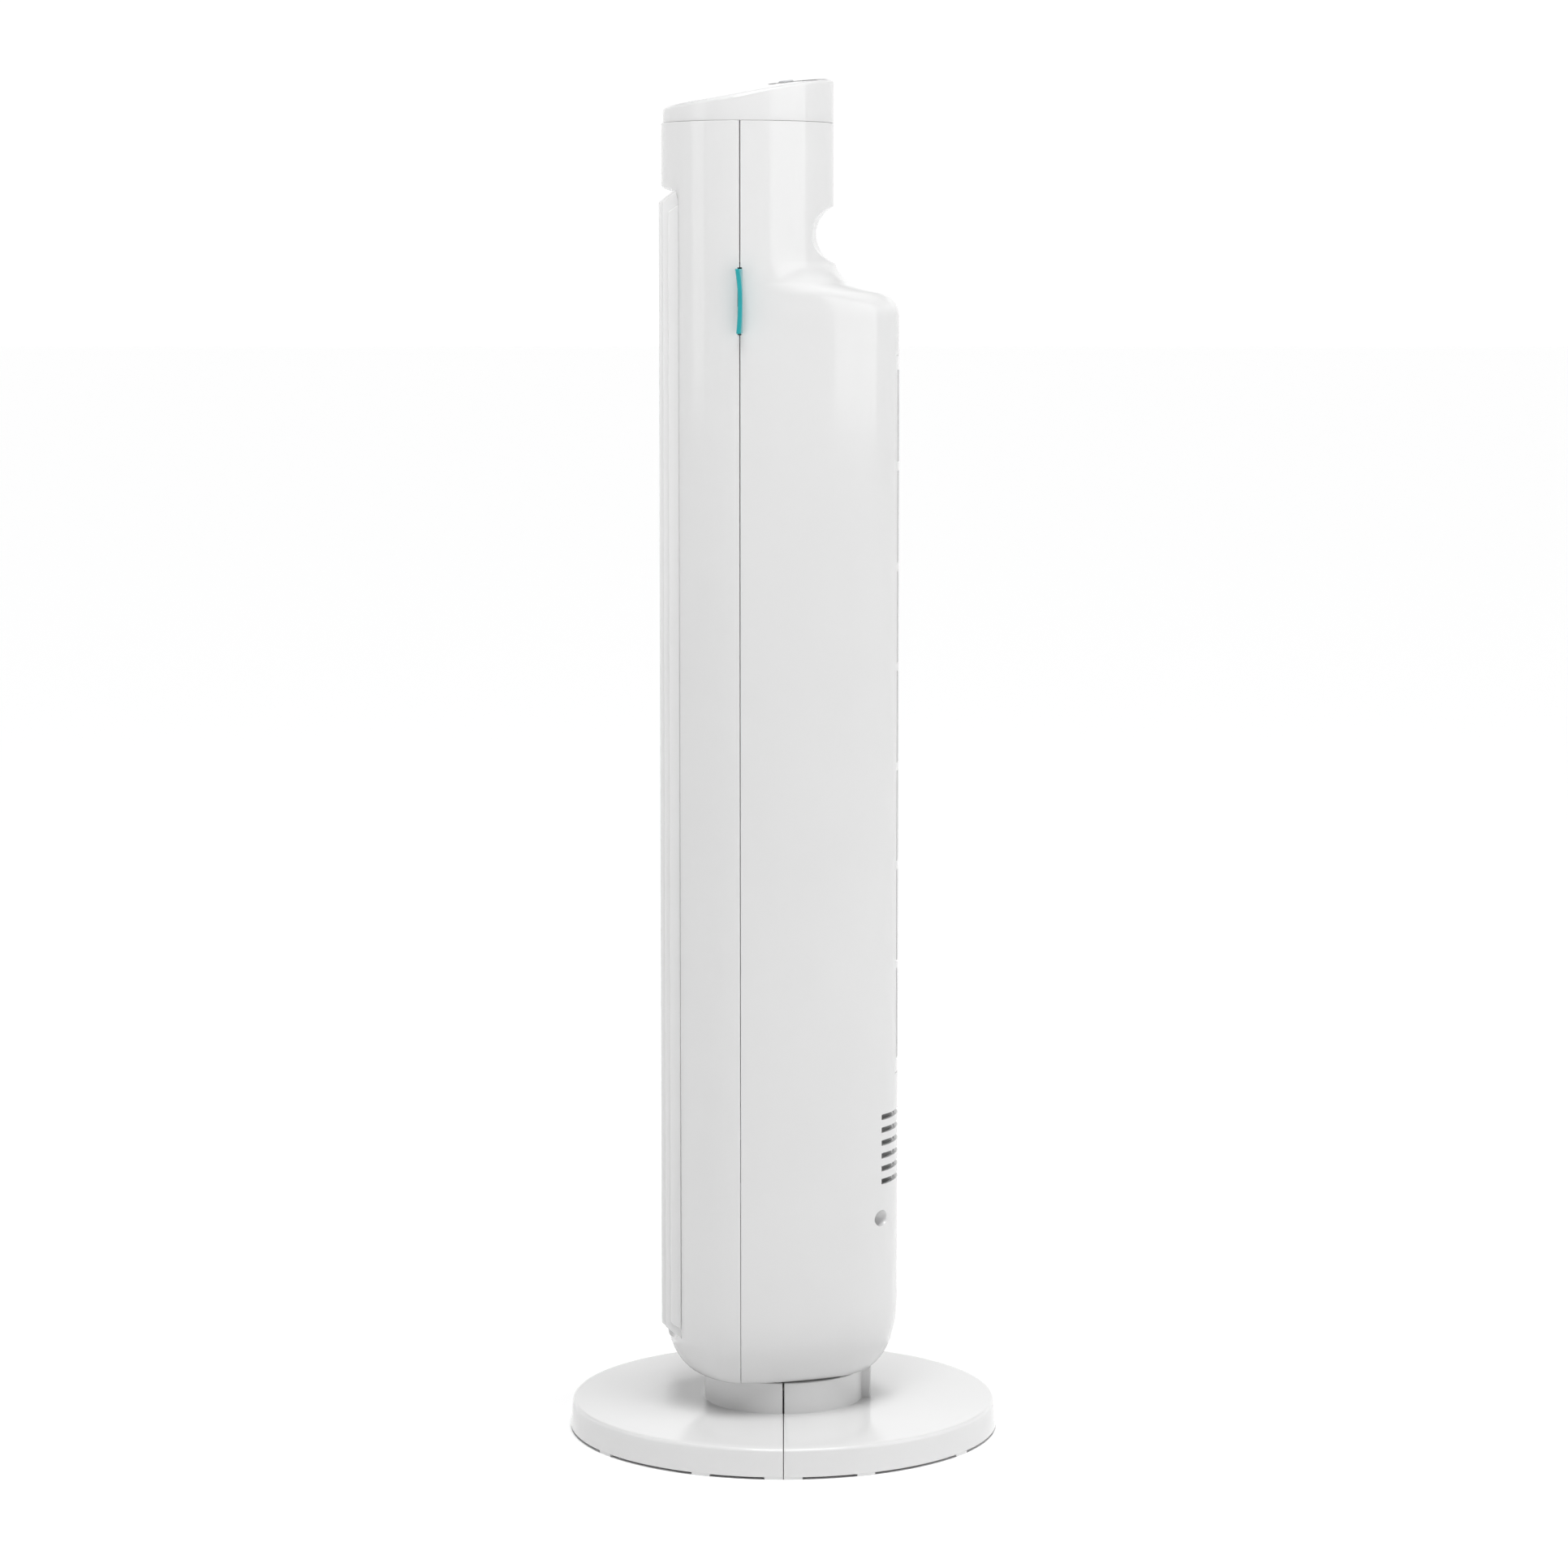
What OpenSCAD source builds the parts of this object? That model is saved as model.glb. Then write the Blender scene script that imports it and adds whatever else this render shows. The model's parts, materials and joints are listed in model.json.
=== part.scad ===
// Tower fan: round two-part base, swivelling tower with a cross-flow blower, slanted top cap
// with a dark control panel, front outlet grille, rear inlet grille and a carry grip.
// Millimetres, +Z up, the air leaves towards -Y, the origin is the centre of the base's underside.

/* [Overall] */
// Height from the floor to the rear edge of the top
total_h = 800; // [796:1:806]
// Half-width of the tower
tower_half_w = 60.5; // [60:0.5:61.5]
// Wall thickness of the tower shells
wall = 2.4; // [2.2:0.1:2.6]

/* [Base] */
// Radius of the base at the floor
base_r = 127.5; // [124:0.5:132]
// Height of the base plate
base_h = 17.5; // [17:0.5:18.5]
// Radius of the collar under the tower
collar_r = 47.4; // [46.5:0.1:48]
// Height of the gap under the skirt, between the little standing tabs
skirt_gap = 1.4; // [0.8:0.1:1.5]

/* [Tower outline] */
// Depth of the front shell ahead of the seam
front_depth = 46.5; // [46:0.5:47.5]
// Corner radius of the front shell in plan
front_corner_r = 35; // [34:0.5:36]
// Depth of the rear shell behind the seam
rear_depth = 93; // [92:0.5:94]
// Side radius of the rear shell in plan
rear_side_r = 143.3; // [140:0.1:146]
// Depth of the neck behind the seam
neck_depth = 54.5; // [54:0.5:55]
// Side radius of the neck in plan
neck_side_r = 45; // [44:0.5:46]
// Distance of the seam ahead of the swivel axis
seam_ahead = 25; // [24.5:0.5:25.5]

/* [Controls] */
// Radius of a push button
button_r = 4.3; // [4:0.1:4.5]
// Distance between neighbouring buttons
button_pitch = 11; // [10.8:0.1:11.2]
// Travel of a push button
button_travel = 0.8; // [0.5:0.1:1]

/* [Blower] */
// Outer radius of the cross-flow impeller
impeller_r = 40; // [38:0.5:40.5]
// Number of impeller blades
blade_count = 24; // [18:1:30]

/* [Swivel] */
// Radius of the pivot post
post_r = 14; // [13:0.5:14]
// Distance from the swivel axis to the crank axis
crank_offset = 30; // [29.5:0.5:30.5]
// Throw of the crank pin
crank_throw = 17.2; // [16:0.2:17.4]

/* [Hidden] */
$fn = 64;
eps = 0.01;
seam_gap = 0.2;
run_fit = 0.06;
white = [0.93, 0.93, 0.93];
seam_y = -seam_ahead;
quarters = [45, 135, 225, 315];

// Heights of the tower
collar_top = 36;
floor_z = collar_top + 0.3;
floor_top = floor_z + wall;
cap_z = total_h - 25.7;
neck_z = total_h - 106.5;
neck_inset = 0.3;
round_w = 20;
round_side_w = 13;
round_h = 41;

// Shoulder behind the neck: an outer round and a hollow, joined by their common tangent
rear_y = seam_y + rear_depth;
shoulder_r = 15;
shoulder_c = [rear_y - shoulder_r, total_h - 137.5];
hollow_r = 18.7;
hollow_c = [rear_y - 20, total_h - 101];
shoulder_d = hollow_c - shoulder_c;
shoulder_a = atan2(shoulder_d[1], shoulder_d[0]) - acos((shoulder_r + hollow_r) / norm(shoulder_d));

// Carry grip across the back of the neck
grip_r = 18.5;
grip_c = [37.9, total_h - 90];

// Front window and grille
window_y = -60.6;
window_z0 = 53;
window_z1 = total_h - 65;
grille_y = -72;
grille_half_w = 36.6;
grille_step = 5;
grille_rib_pitch = 9.3;
slat_pitch = 11;
outlet_half_w = 28;
outlet_z0 = 75;
outlet_z1 = window_z1 - 15;
grille_z0 = 58;
grille_z1 = window_z1 - 1;

// Soft tag in the seam: foot, height, reach and half its thickness
tag_z = total_h - 147;
tag_h = 37;
tag_out = 9.5;
tag_t = 1.2;

// Rear inlet, motor vents and shell screws
inlet_half_w = 14;
inlet_z0 = 215;
inlet_z1 = total_h - 160;
inlet_slot_pitch = 5;
inlet_rows = 7;
inlet_row_pitch = (inlet_z1 - inlet_z0 - 12) / inlet_rows;
vent_count = 6;
vent_pitch = 7.7;
vent_h = 3.3;
vent_z = 153.3;
vent_half_w = 30;
screw_x = 30;
screw_z = 131.5;
screw_seat_y = 50.5;
counterbore_r = 4.8;

// Blower
blower_y = 4;
motor_r = 40;
mount_screw_r = 34;
bell_h = 12;
stator_z0 = 152;
stator_z1 = 178;
plate_z = 198;
plate_h = 3;
wheel_z0 = 217;
wheel_z1 = 636;
duct_top = 648;
motor_shaft_r = 4;
loom_x = -54.5;
loom_y = -15;

// Swivel drive
arm_z = 60;
arm_h = 3;
arm_tip = crank_offset + crank_throw + 0.4;
slot_half_w = 5.5;
crank_z = 67;
bracket_z = 72;
housing_r = 33;
housing_screw_r = 26;
bracket_leg_x = 36;
motor_screw_x = 31;

// Crowned top of the cap: part of a ball
crown_r = 370;
crown_y = 40;
crown_z = total_h - sqrt(crown_r * crown_r - 100);
panel_lift = 0.25;
panel_h = 1.4;
cap_wall = 3.2;
panel_y = 1.5;
panel_tilt = asin((crown_y - panel_y) / crown_r);
panel_z = crown_z + crown_r * cos(panel_tilt);
button_count = 5;
lens_y = 12;
lens_size = [26, 8];
board_z = -10.6;
board_h = 1.6;
board_screw_x = 33;
button_foot = -5;
button_proud = 0.9;
switch_h = button_foot - button_travel - 0.1 - board_z - board_h;

// ---------- outlines ----------

// Radius of the face arc that meets two side arcs of radius c smoothly, q in front of the seam
function face_r(q, c) = (q * q + pow(tower_half_w - c, 2) - c * c) / (2 * (q - c));

// Half of the tower's plan on one side of the seam, set in by d: side arc, face arc, side arc
function half_outline(q, c, d = 0, ext = 0) =
    let (r = face_r(q, c), a = tower_half_w - c, s = r > c ? 1 : -1, turn = atan2(s * (r - q), s * a))
    concat(
        ext > 0 ? [[tower_half_w - d, -ext]] : [],
        [for (t = [0:6]) [a + (c - d) * cos(t * turn / 6), (c - d) * sin(t * turn / 6)]],
        [for (t = [1:15])
            let (v = turn + t * (180 - 2 * turn) / 16)
            [(r - d) * cos(v), q - r + (r - d) * sin(v)]],
        [for (t = [6:-1:0]) [-a - (c - d) * cos(t * turn / 6), (c - d) * sin(t * turn / 6)]],
        ext > 0 ? [[d - tower_half_w, -ext]] : []);

module front_plan(d = 0, ext = 0)
    translate([0, seam_y])
        mirror([0, 1])
            polygon(half_outline(front_depth, front_corner_r, d, ext));

module rear_plan(d = 0, ext = 0)
    translate([0, seam_y])
        polygon(half_outline(rear_depth, rear_side_r, d, ext));

module neck_plan(d = 0, ext = 0)
    translate([0, seam_y])
        polygon(half_outline(neck_depth, neck_side_r, d + neck_inset, ext));

// Points of an arc from angle a0 to a1
function arc(c, r, a0, a1, n) = [for (t = [0:n]) let (v = a0 + t * (a1 - a0) / n) c + r * [cos(v), sin(v)]];

// Quarter of the rounded bottom edge, w wide: side s is 1 or -1, edge is the outer face
function bottom_round(edge, s, d, w) =
    [for (t = [0:8]) let (v = 90 * t / 8)
        [edge - s * w + s * (w - d) * sin(v), floor_z + round_h - (round_h - d) * cos(v)]];

// Side view of the tower, set in by d: Y across and Z up
module side_view(d = 0, top = cap_z)
    polygon(concat(
        bottom_round(rear_y, 1, d, round_w),
        arc(shoulder_c, shoulder_r - d, 0, shoulder_a, 8),
        arc(hollow_c, hollow_r + d, 180 + shoulder_a, 197, 6),
        [[32 - d, neck_z + 0.5], [32 - d, top]],
        [[seam_y - front_depth + d, top]],
        [for (p = [8:-1:0]) bottom_round(seam_y - front_depth, -1, d, round_w)[p]]));

// Front view of the tower, set in by d: X across and Z up
module front_view(d = 0, top = cap_z)
    polygon(concat(
        bottom_round(tower_half_w, 1, d, round_side_w),
        [[tower_half_w - d, top], [d - tower_half_w, top]],
        [for (p = [8:-1:0]) bottom_round(-tower_half_w, -1, d, round_side_w)[p]]));

// Cuts a plan shape with the tower's side and front views
module tower_form(d = 0, top = cap_z) {
    intersection() {
        children();
        rotate([90, 0, 90])
            linear_extrude(height = 160, center = true)
                side_view(d, top);
        rotate([90, 0, 0])
            linear_extrude(height = 240, center = true)
                front_view(d, top);
    }
}

module front_form(d = 0, ext = 0, top = cap_z)
    tower_form(d, top)
        translate([0, 0, floor_z])
            linear_extrude(height = total_h)
                front_plan(d, ext);

module rear_form(d = 0, ext = 0, top = cap_z)
    tower_form(d, top) {
        translate([0, 0, floor_z])
            linear_extrude(height = neck_z + 1 - d - floor_z)
                rear_plan(d, ext);
    }

module neck_form(d = 0, ext = 0, top = cap_z)
    translate([0, 0, neck_z + 0.5 - 4 * d])
        linear_extrude(height = top - neck_z - 0.5 + 4 * d)
            neck_plan(d, ext);

// A flat plate that fills the inside of the tower
module tower_plate(z, h, plan_d) {
    translate([0, 0, z])
        linear_extrude(height = h)
            difference() {
                union() {
                    front_plan(plan_d, 1);
                    rear_plan(plan_d, 1);
                }
                translate([-100, -200 + window_y + wall + 0.2])
                    square(200);
                translate([loom_x, loom_y])
                    circle(3);
            }
}

module ring(r0, r1, h)
    difference() {
        cylinder(r = r1, h = h);
        translate([0, 0, -1])
            cylinder(r = r0, h = h + 2);
    }

// Pan-head screw pointing down from z = 0, its head above
module screw(r, l, head_r, head_h) {
    translate([0, 0, -l])
        cylinder(r = r, h = l);
    cylinder(r = head_r, h = head_h);
}

module at_round(r, angles)
    for (a = angles)
        rotate(a)
            translate([r, 0, 0])
                children();

module both_sides()
    for (s = [-1, 1])
        scale_x(s)
            children();

module scale_x(s)
    if (s > 0)
        children();
    else
        mirror([1, 0, 0])
            children();

// ---------- base ----------

skirt_t = 2.6;
ledge_z = 27;
collar_lip = 6.7;
ledge_h = 3;
foot_angles = [30, 90, 150];
rib_angles = [22, 55, 125, 158];
base_screw_x = [70, 108];
foot_r = 108;
cord_r = 3.6;
cord_z = 22.5;
post_screw_r = 30;

// Half of the base: plate, skirt, collar and inner ledge in one turned section
module base_section()
    polygon(concat(
        [[base_r - skirt_t, skirt_gap], [base_r, skirt_gap]],
        arc([base_r - 3.3, base_h - 2], 2, 0, 90, 4),
        [[collar_r, base_h], [collar_r, collar_top]],
        [[collar_r - collar_lip, collar_top], [collar_r - collar_lip, ledge_z + ledge_h]],
        [[15, ledge_z + ledge_h], [15, ledge_z], [collar_r - 3, ledge_z]],
        [[collar_r - 3, base_h - 2.5], [base_r - skirt_t - 1.3, base_h - 2.5]]));

// The half with y > 0
module base_half() {
    difference() {
        union() {
            difference() {
                rotate_extrude(angle = 180)
                    base_section();
                translate([-140, -1, -1])
                    cube([280, 1 + seam_gap, 60]);
            }
            standing_tabs();
            at_round(foot_r, foot_angles)
                translate([0, 0, 3])
                    cylinder(r = 10, h = base_h - 4);
            at_round(collar_r - 1, rib_angles)
                translate([0, -1, 8])
                    cube([base_r - collar_r - 2, 2, base_h - 9]);
        }
        at_round(post_screw_r, [45, 135])
            translate([0, 0, ledge_z - 1])
                cylinder(r = 2, h = ledge_h + 2);
    }
}

// Little tabs under the skirt that stand on the floor
module standing_tabs() {
    for (a = concat([[0.1, 4.9], [175.1, 179.9]], [for (v = [22, 55, 90, 125, 158]) [v - 2.5, v + 2.5]]))
        rotate(a[0])
            rotate_extrude(angle = a[1] - a[0])
                translate([base_r - skirt_t + 0.3, 0])
                    square([skirt_t - 0.6, skirt_gap + 0.5]);
}

module base_front_half()
    color(white)
        difference() {
            union() {
                mirror([0, 1, 0])
                    base_half();
                for (x = base_screw_x)
                    both_sides()
                        translate([x, -8, 12])
                            cylinder(r = 5, h = base_h - 13);
            }
            for (x = base_screw_x)
                both_sides()
                    translate([x, -8, 11])
                        cylinder(r = 1.6, h = 3.5);
        }

module base_rear_half()
    color(white)
        difference() {
            union() {
                base_half();
                translate([-8, collar_r - 3, base_h - 1])
                    cube([16, 8, collar_top - base_h + 1]);
                for (x = base_screw_x)
                    both_sides()
                        joining_tongue(x);
            }
            translate([0, collar_r - 6, cord_z])
                rotate([-90, 0, 0])
                    cylinder(r = cord_r, h = 20);
            for (x = base_screw_x)
                both_sides()
                    translate([x, -8, 8])
                        cylinder(r = 2, h = 6);
        }

// Tongue that reaches under the other half and takes a screw
module joining_tongue(x) {
    translate([x - 5, -12, 9.5])
        cube([10, 20, 2.5]);
    translate([x - 5, seam_gap, 11])
        cube([10, 8, base_h - 12]);
}

module base_screws()
    color([0.6, 0.6, 0.62])
        for (x = base_screw_x)
            both_sides()
                translate([x, -8, 9.5])
                    mirror([0, 0, 1])
                        screw(1.6, 4.8, 3.4, 2);

module rubber_feet()
    color([0.2, 0.2, 0.2])
        at_round(foot_r, [30, 90, 150, 210, 270, 330])
            cylinder(r = 8.5, h = 3);

module pivot_post()
    color([0.75, 0.75, 0.72])
        difference() {
            union() {
                translate([0, 0, ledge_z + ledge_h])
                    cylinder(r = 40, h = 3);
                translate([0, 0, ledge_z + ledge_h])
                    cylinder(r = post_r, h = arm_z - ledge_z - ledge_h);
                translate([0, 0, arm_z - 1])
                    cylinder(r = 10, h = 7);
            }
            translate([0, 0, ledge_z])
                cylinder(r = 7, h = 60);
            translate([0, 0, 56.4])
                ring(post_r - 1.4, post_r + 2, 1.6);
            at_round(post_screw_r, quarters)
                translate([0, 0, ledge_z])
                    cylinder(r = 1.8, h = 10);
        }

module post_screws()
    color([0.6, 0.6, 0.62])
        at_round(post_screw_r, quarters)
            translate([0, 0, ledge_z])
                mirror([0, 0, 1])
                    screw(1.8, 5.5, 3.6, 2.2);

module slip_washer()
    color([0.85, 0.85, 0.8])
        translate([0, 0, ledge_z + ledge_h + 3])
            ring(18, 38, collar_top - ledge_z - ledge_h - 3);

module retaining_clip()
    color([0.5, 0.5, 0.52])
        translate([0, 0, 56.4])
            difference() {
                ring(post_r - 1.4, 18, 1.6);
                translate([-2.5, -20, -1])
                    cube([5, 20, 4]);
            }

module slotted_arm()
    color([0.7, 0.7, 0.72])
        translate([0, 0, arm_z])
            linear_extrude(height = arm_h)
                difference() {
                    union() {
                        circle(17);
                        translate([-9, 0])
                            square([18, arm_tip]);
                        translate([0, arm_tip])
                            circle(9);
                    }
                    circle(10);
                    translate([-slot_half_w, 24])
                        square([2 * slot_half_w, arm_tip - 24]);
                    for (y = [24, arm_tip])
                        translate([0, y])
                            circle(slot_half_w);
                }

module arm_nut()
    color([0.6, 0.6, 0.62])
        translate([0, 0, arm_z + arm_h])
            difference() {
                cylinder(r = 15, h = 3, $fn = 6);
                translate([0, 0, -1])
                    cylinder(r = 10, h = 5, $fn = 64);
            }

// ---------- tower shells ----------

// Boss along Y for a shell screw
module screw_boss(y0, y1, r)
    both_sides()
        translate([screw_x, y0, screw_z])
            rotate([-90, 0, 0])
                cylinder(r = r, h = y1 - y0);

// Room for the tag in the seam
module tag_slot()
    translate([tower_half_w - 6, seam_y - tag_t - 0.05, tag_z - 0.2])
        cube([10, 2 * tag_t + 0.1, tag_h + 0.4]);

module front_shell()
    color(white)
        difference() {
            union() {
                difference() {
                    front_form();
                    translate([-80, -100 + window_y, window_z0])
                        cube([160, 100, window_z1 - window_z0]);
                    difference() {
                        front_form(wall, 1, cap_z + 1);
                        translate([-80, -100 + window_y + wall, window_z0 - wall])
                            cube([160, 100, window_z1 - window_z0 + 2 * wall]);
                    }
                    translate([-outlet_half_w - 1, -80, outlet_z0 - 3])
                        cube([2 * outlet_half_w + 2, 30, outlet_z1 - outlet_z0 + 6]);
                }
                screw_boss(window_y + wall - 0.5, seam_y, 5);
            }
            screw_boss(-46, seam_y + 1, 2);
            translate([0, 0, floor_z - 1])
                cylinder(r = 18.3, h = 6);
            translate([0, -seam_gap / 2, 0])
                tag_slot();
            translate([-100, seam_y - seam_gap / 2, 0])
                cube([200, 10, total_h]);
        }

module grip_cut(r)
    translate([-80, grip_c[0], grip_c[1]])
        rotate([0, 90, 0])
            cylinder(r = r, h = 160, $fn = 96);

module rear_shell()
    color(white)
        difference() {
            union() {
                difference() {
                    union() {
                        rear_form();
                        neck_form();
                    }
                    difference() {
                        union() {
                            rear_form(wall, 1, cap_z + 1);
                            neck_form(wall, 1, cap_z + 1);
                        }
                        grip_cut(grip_r + wall);
                    }
                    grip_cut(grip_r);
                }
                intersection() {
                    screw_boss(seam_y, 62, 6.5);
                    rear_form();
                }
            }
            screw_boss(seam_y - 1, 60, 2.1);
            screw_boss(screw_seat_y, 80, counterbore_r);
            translate([-inlet_half_w, 30, inlet_z0])
                cube([2 * inlet_half_w, 60, inlet_z1 - inlet_z0]);
            for (i = [0:vent_count - 1])
                translate([-vent_half_w, 38, vent_z + i * vent_pitch - vent_h / 2])
                    cube([2 * vent_half_w, 60, vent_h]);
            translate([0, 0, floor_z - 1])
                cylinder(r = 18.3, h = 6);
            at_round(housing_screw_r, quarters)
                translate([0, 0, floor_z - 1])
                    cylinder(r = 1.5, h = 6);
            tag_slot();
            translate([-100, seam_y - 10 + seam_gap / 2, 0])
                cube([200, 10, total_h]);
        }

module front_grille()
    color(white) {
        difference() {
            grille_frame();
            translate([-outlet_half_w, -100, outlet_z0])
                cube([2 * outlet_half_w, 100, outlet_z1 - outlet_z0]);
        }
        for (i = [-2:2])
            translate([i * grille_rib_pitch - 0.8, grille_y + 2.2, outlet_z0 - 1])
                cube([1.6, 7, outlet_z1 - outlet_z0 + 2]);
        for (z = [outlet_z0 + slat_pitch:slat_pitch:outlet_z1 - 5])
            translate([-outlet_half_w - 0.5, grille_y + 0.8, z])
                cube([2 * outlet_half_w + 1, 7.6, 1.8]);
    }

// Solid of the outlet grille: a bevelled front on a wider step
module grille_frame() {
    rotate([90, 0, 90])
        linear_extrude(height = 2 * grille_half_w - 3, center = true)
            polygon([[window_y - 0.2, grille_z0], [grille_y + grille_step, grille_z0 + 2],
                     [grille_y, grille_z0 + 7], [grille_y, grille_z1 - 6],
                     [grille_y + 8, grille_z1], [window_y - 0.2, grille_z1]]);
    rotate([90, 0, 90])
        linear_extrude(height = 2 * grille_half_w, center = true)
            polygon([[window_y - 0.2, grille_z0 + 1], [grille_y + grille_step, grille_z0 + 5],
                     [grille_y + grille_step, grille_z1 - 11], [window_y - 0.2, grille_z1 - 6.5]]);
}

module rear_inlet_grille()
    color(white)
        difference() {
            intersection() {
                difference() {
                    rear_form();
                    rear_form(wall, 1);
                }
                translate([-inlet_half_w + 0.3, 30, inlet_z0 + 0.3])
                    cube([2 * inlet_half_w - 0.6, 60, inlet_z1 - inlet_z0 - 0.6]);
            }
            for (i = [-2:2])
                for (k = [0:inlet_rows - 1])
                    translate([i * inlet_slot_pitch - 1.2, 30, inlet_z0 + 8 + k * inlet_row_pitch])
                        cube([2.4, 60, inlet_row_pitch - 4]);
        }

module side_tag()
    color([0, 0.66, 0.67])
        translate([0, 0, tag_z])
            linear_extrude(height = tag_h)
                polygon([[tower_half_w - 5, seam_y - tag_t], [tower_half_w + 0.5, seam_y - tag_t],
                         [tower_half_w + tag_out, seam_y - 4], [tower_half_w + tag_out, seam_y - 1.6],
                         [tower_half_w + 0.5, seam_y + tag_t], [tower_half_w - 5, seam_y + tag_t]]);

module shell_screws()
    color([0.6, 0.6, 0.62])
        both_sides()
            translate([screw_x, screw_seat_y, screw_z])
                rotate([-90, 0, 0])
                    screw(2, screw_seat_y + 44, 4, 3);

// ---------- swivel drive ----------

module swivel_housing()
    color([0.82, 0.82, 0.8])
        translate([0, 0, floor_top])
            difference() {
                union() {
                    cylinder(r = housing_r, h = 3.3);
                    cylinder(r = 22, h = 15.3);
                }
                translate([0, 0, -1])
                    cylinder(r = 18, h = 20);
                at_round(housing_screw_r, quarters)
                    translate([0, 0, -1])
                        cylinder(r = 1.5, h = 6);
            }

module swivel_bush()
    color([0.9, 0.88, 0.8])
        translate([0, 0, floor_z + 0.3])
            ring(post_r + run_fit, 18, 56 - floor_z - 0.3);

module housing_screws()
    color([0.6, 0.6, 0.62])
        at_round(housing_screw_r, quarters)
            translate([0, 0, floor_top + 3.3])
                screw(1.5, 5.4, 2.8, 1.8);

module crank_bracket()
    color([0.72, 0.73, 0.75]) {
        difference() {
            intersection() {
                translate([-44, -14, bracket_z])
                    cube([88, 70, 2]);
                translate([0, 0, bracket_z - 1])
                    linear_extrude(height = 4)
                        rear_plan(6);
            }
            translate([0, crank_offset, bracket_z - 1])
                cylinder(r = 8, h = 4);
            both_sides()
                translate([motor_screw_x, crank_offset, bracket_z - 1])
                    cylinder(r = 1.5, h = 4);
        }
        for (y = [-8, 12])
            both_sides()
                translate([bracket_leg_x, y, floor_top])
                    cylinder(r = 3.6, h = bracket_z - floor_top);
    }

module oscillation_motor()
    color([0.78, 0.78, 0.8])
        translate([0, crank_offset, bracket_z + 2])
            difference() {
                union() {
                    cylinder(r = 25, h = 18);
                    translate([-35, -5, 0])
                        cube([70, 10, 1.5]);
                    translate([-8, -30, 4])
                        cube([16, 8, 10]);
                }
                translate([0, 0, -1])
                    cylinder(r = 3 + run_fit, h = 13);
                both_sides()
                    translate([motor_screw_x, 0, -1])
                        cylinder(r = 1.5, h = 4);
            }

module oscillation_screws()
    color([0.6, 0.6, 0.62])
        both_sides()
            translate([motor_screw_x, crank_offset, bracket_z + 3.5])
                screw(1.5, 5.5, 2.8, 1.8);

module crank_disc()
    color([0.9, 0.9, 0.88])
        translate([0, crank_offset, crank_z])
            difference() {
                union() {
                    cylinder(r = 20, h = 3);
                    cylinder(r = 3, h = 16);
                    cylinder(r = 6, h = 4.5);
                }
                translate([0, crank_throw, -1])
                    cylinder(r = 2, h = 5);
            }

module crank_pin()
    color([0.6, 0.6, 0.62])
        translate([0, crank_offset + crank_throw, arm_z - 1.5])
            cylinder(r = 2, h = crank_z + 3 - arm_z + 1.5);

// ---------- fan motor ----------

module at_blower(z)
    translate([0, blower_y, z])
        children();

module motor_stator()
    color([0.55, 0.56, 0.58])
        at_blower(stator_z0)
            ring(24.8, motor_r, stator_z1 - stator_z0);

module motor_windings()
    color([0.72, 0.42, 0.22])
        for (z = [stator_z0 - 6, stator_z1])
            at_blower(z)
                ring(26, 34, 6);

module motor_bell()
    difference() {
        union() {
            ring(36, motor_r, bell_h);
            cylinder(r = motor_r, h = 2.4);
            cylinder(r = 11, h = 10);
        }
        translate([0, 0, 2])
            cylinder(r = 8, h = 12);
        translate([0, 0, -1])
            cylinder(r = 5, h = 6);
        for (a = [0:60:300])
            rotate(a)
                translate([17, -4, -1])
                    cube([15, 8, 5]);
    }

module motor_lower_bell()
    color([0.72, 0.73, 0.75])
        at_blower(stator_z0 - bell_h)
            motor_bell();

module motor_upper_bell()
    color([0.72, 0.73, 0.75])
        at_blower(stator_z1 + bell_h)
            mirror([0, 0, 1])
                motor_bell();

module motor_bearings()
    color([0.75, 0.6, 0.35])
        for (z = [stator_z0 - bell_h + 2, stator_z1 + bell_h - 10])
            at_blower(z)
                ring(motor_shaft_r + run_fit, 8, 8);

module motor_plate()
    color([0.72, 0.73, 0.75])
        difference() {
            tower_plate(plate_z, plate_h, wall + 0.2);
            at_blower(plate_z - 1)
                cylinder(r = 12, h = 5);
            at_blower(plate_z - 1)
                at_round(mount_screw_r, quarters)
                    cylinder(r = 2, h = 5);
        }

module motor_grommets()
    color([0.15, 0.15, 0.15])
        at_blower(stator_z1 + bell_h)
            at_round(mount_screw_r, quarters)
                ring(2, 5, plate_z - stator_z1 - bell_h);

module motor_screws()
    color([0.6, 0.6, 0.62])
        at_blower(plate_z + plate_h)
            at_round(mount_screw_r, quarters)
                screw(2, plate_z + plate_h - stator_z1 - bell_h, 3.8, 2);

module motor_rotor()
    color([0.5, 0.5, 0.52])
        at_blower(stator_z0)
            ring(motor_shaft_r, 24.2, stator_z1 - stator_z0);

module motor_shaft()
    color([0.8, 0.8, 0.82])
        at_blower(stator_z0 - bell_h - 4)
            cylinder(r = motor_shaft_r, h = 78);

// ---------- cross-flow blower ----------

module drive_hub()
    color([0.15, 0.15, 0.15])
        at_blower(plate_z + plate_h + 3)
            ring(motor_shaft_r, 11, wheel_z0 - plate_z - plate_h - 3);

module impeller()
    color([0.25, 0.26, 0.27])
        at_blower(wheel_z0) {
            difference() {
                for (k = [0:7])
                    translate([0, 0, k * (wheel_z1 - wheel_z0 - 2.4) / 7])
                        cylinder(r = impeller_r, h = 2.4);
                translate([0, 0, 2.4 + eps])
                    cylinder(r = impeller_r - 9, h = wheel_z1 - wheel_z0 - 4.8 - 2 * eps);
            }
            linear_extrude(height = wheel_z1 - wheel_z0)
                for (i = [0:blade_count - 1])
                    rotate(i * 360 / blade_count)
                        translate([impeller_r - 7.6, 0])
                            rotate(28)
                                square([7.6, 1.2]);
        }

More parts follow.
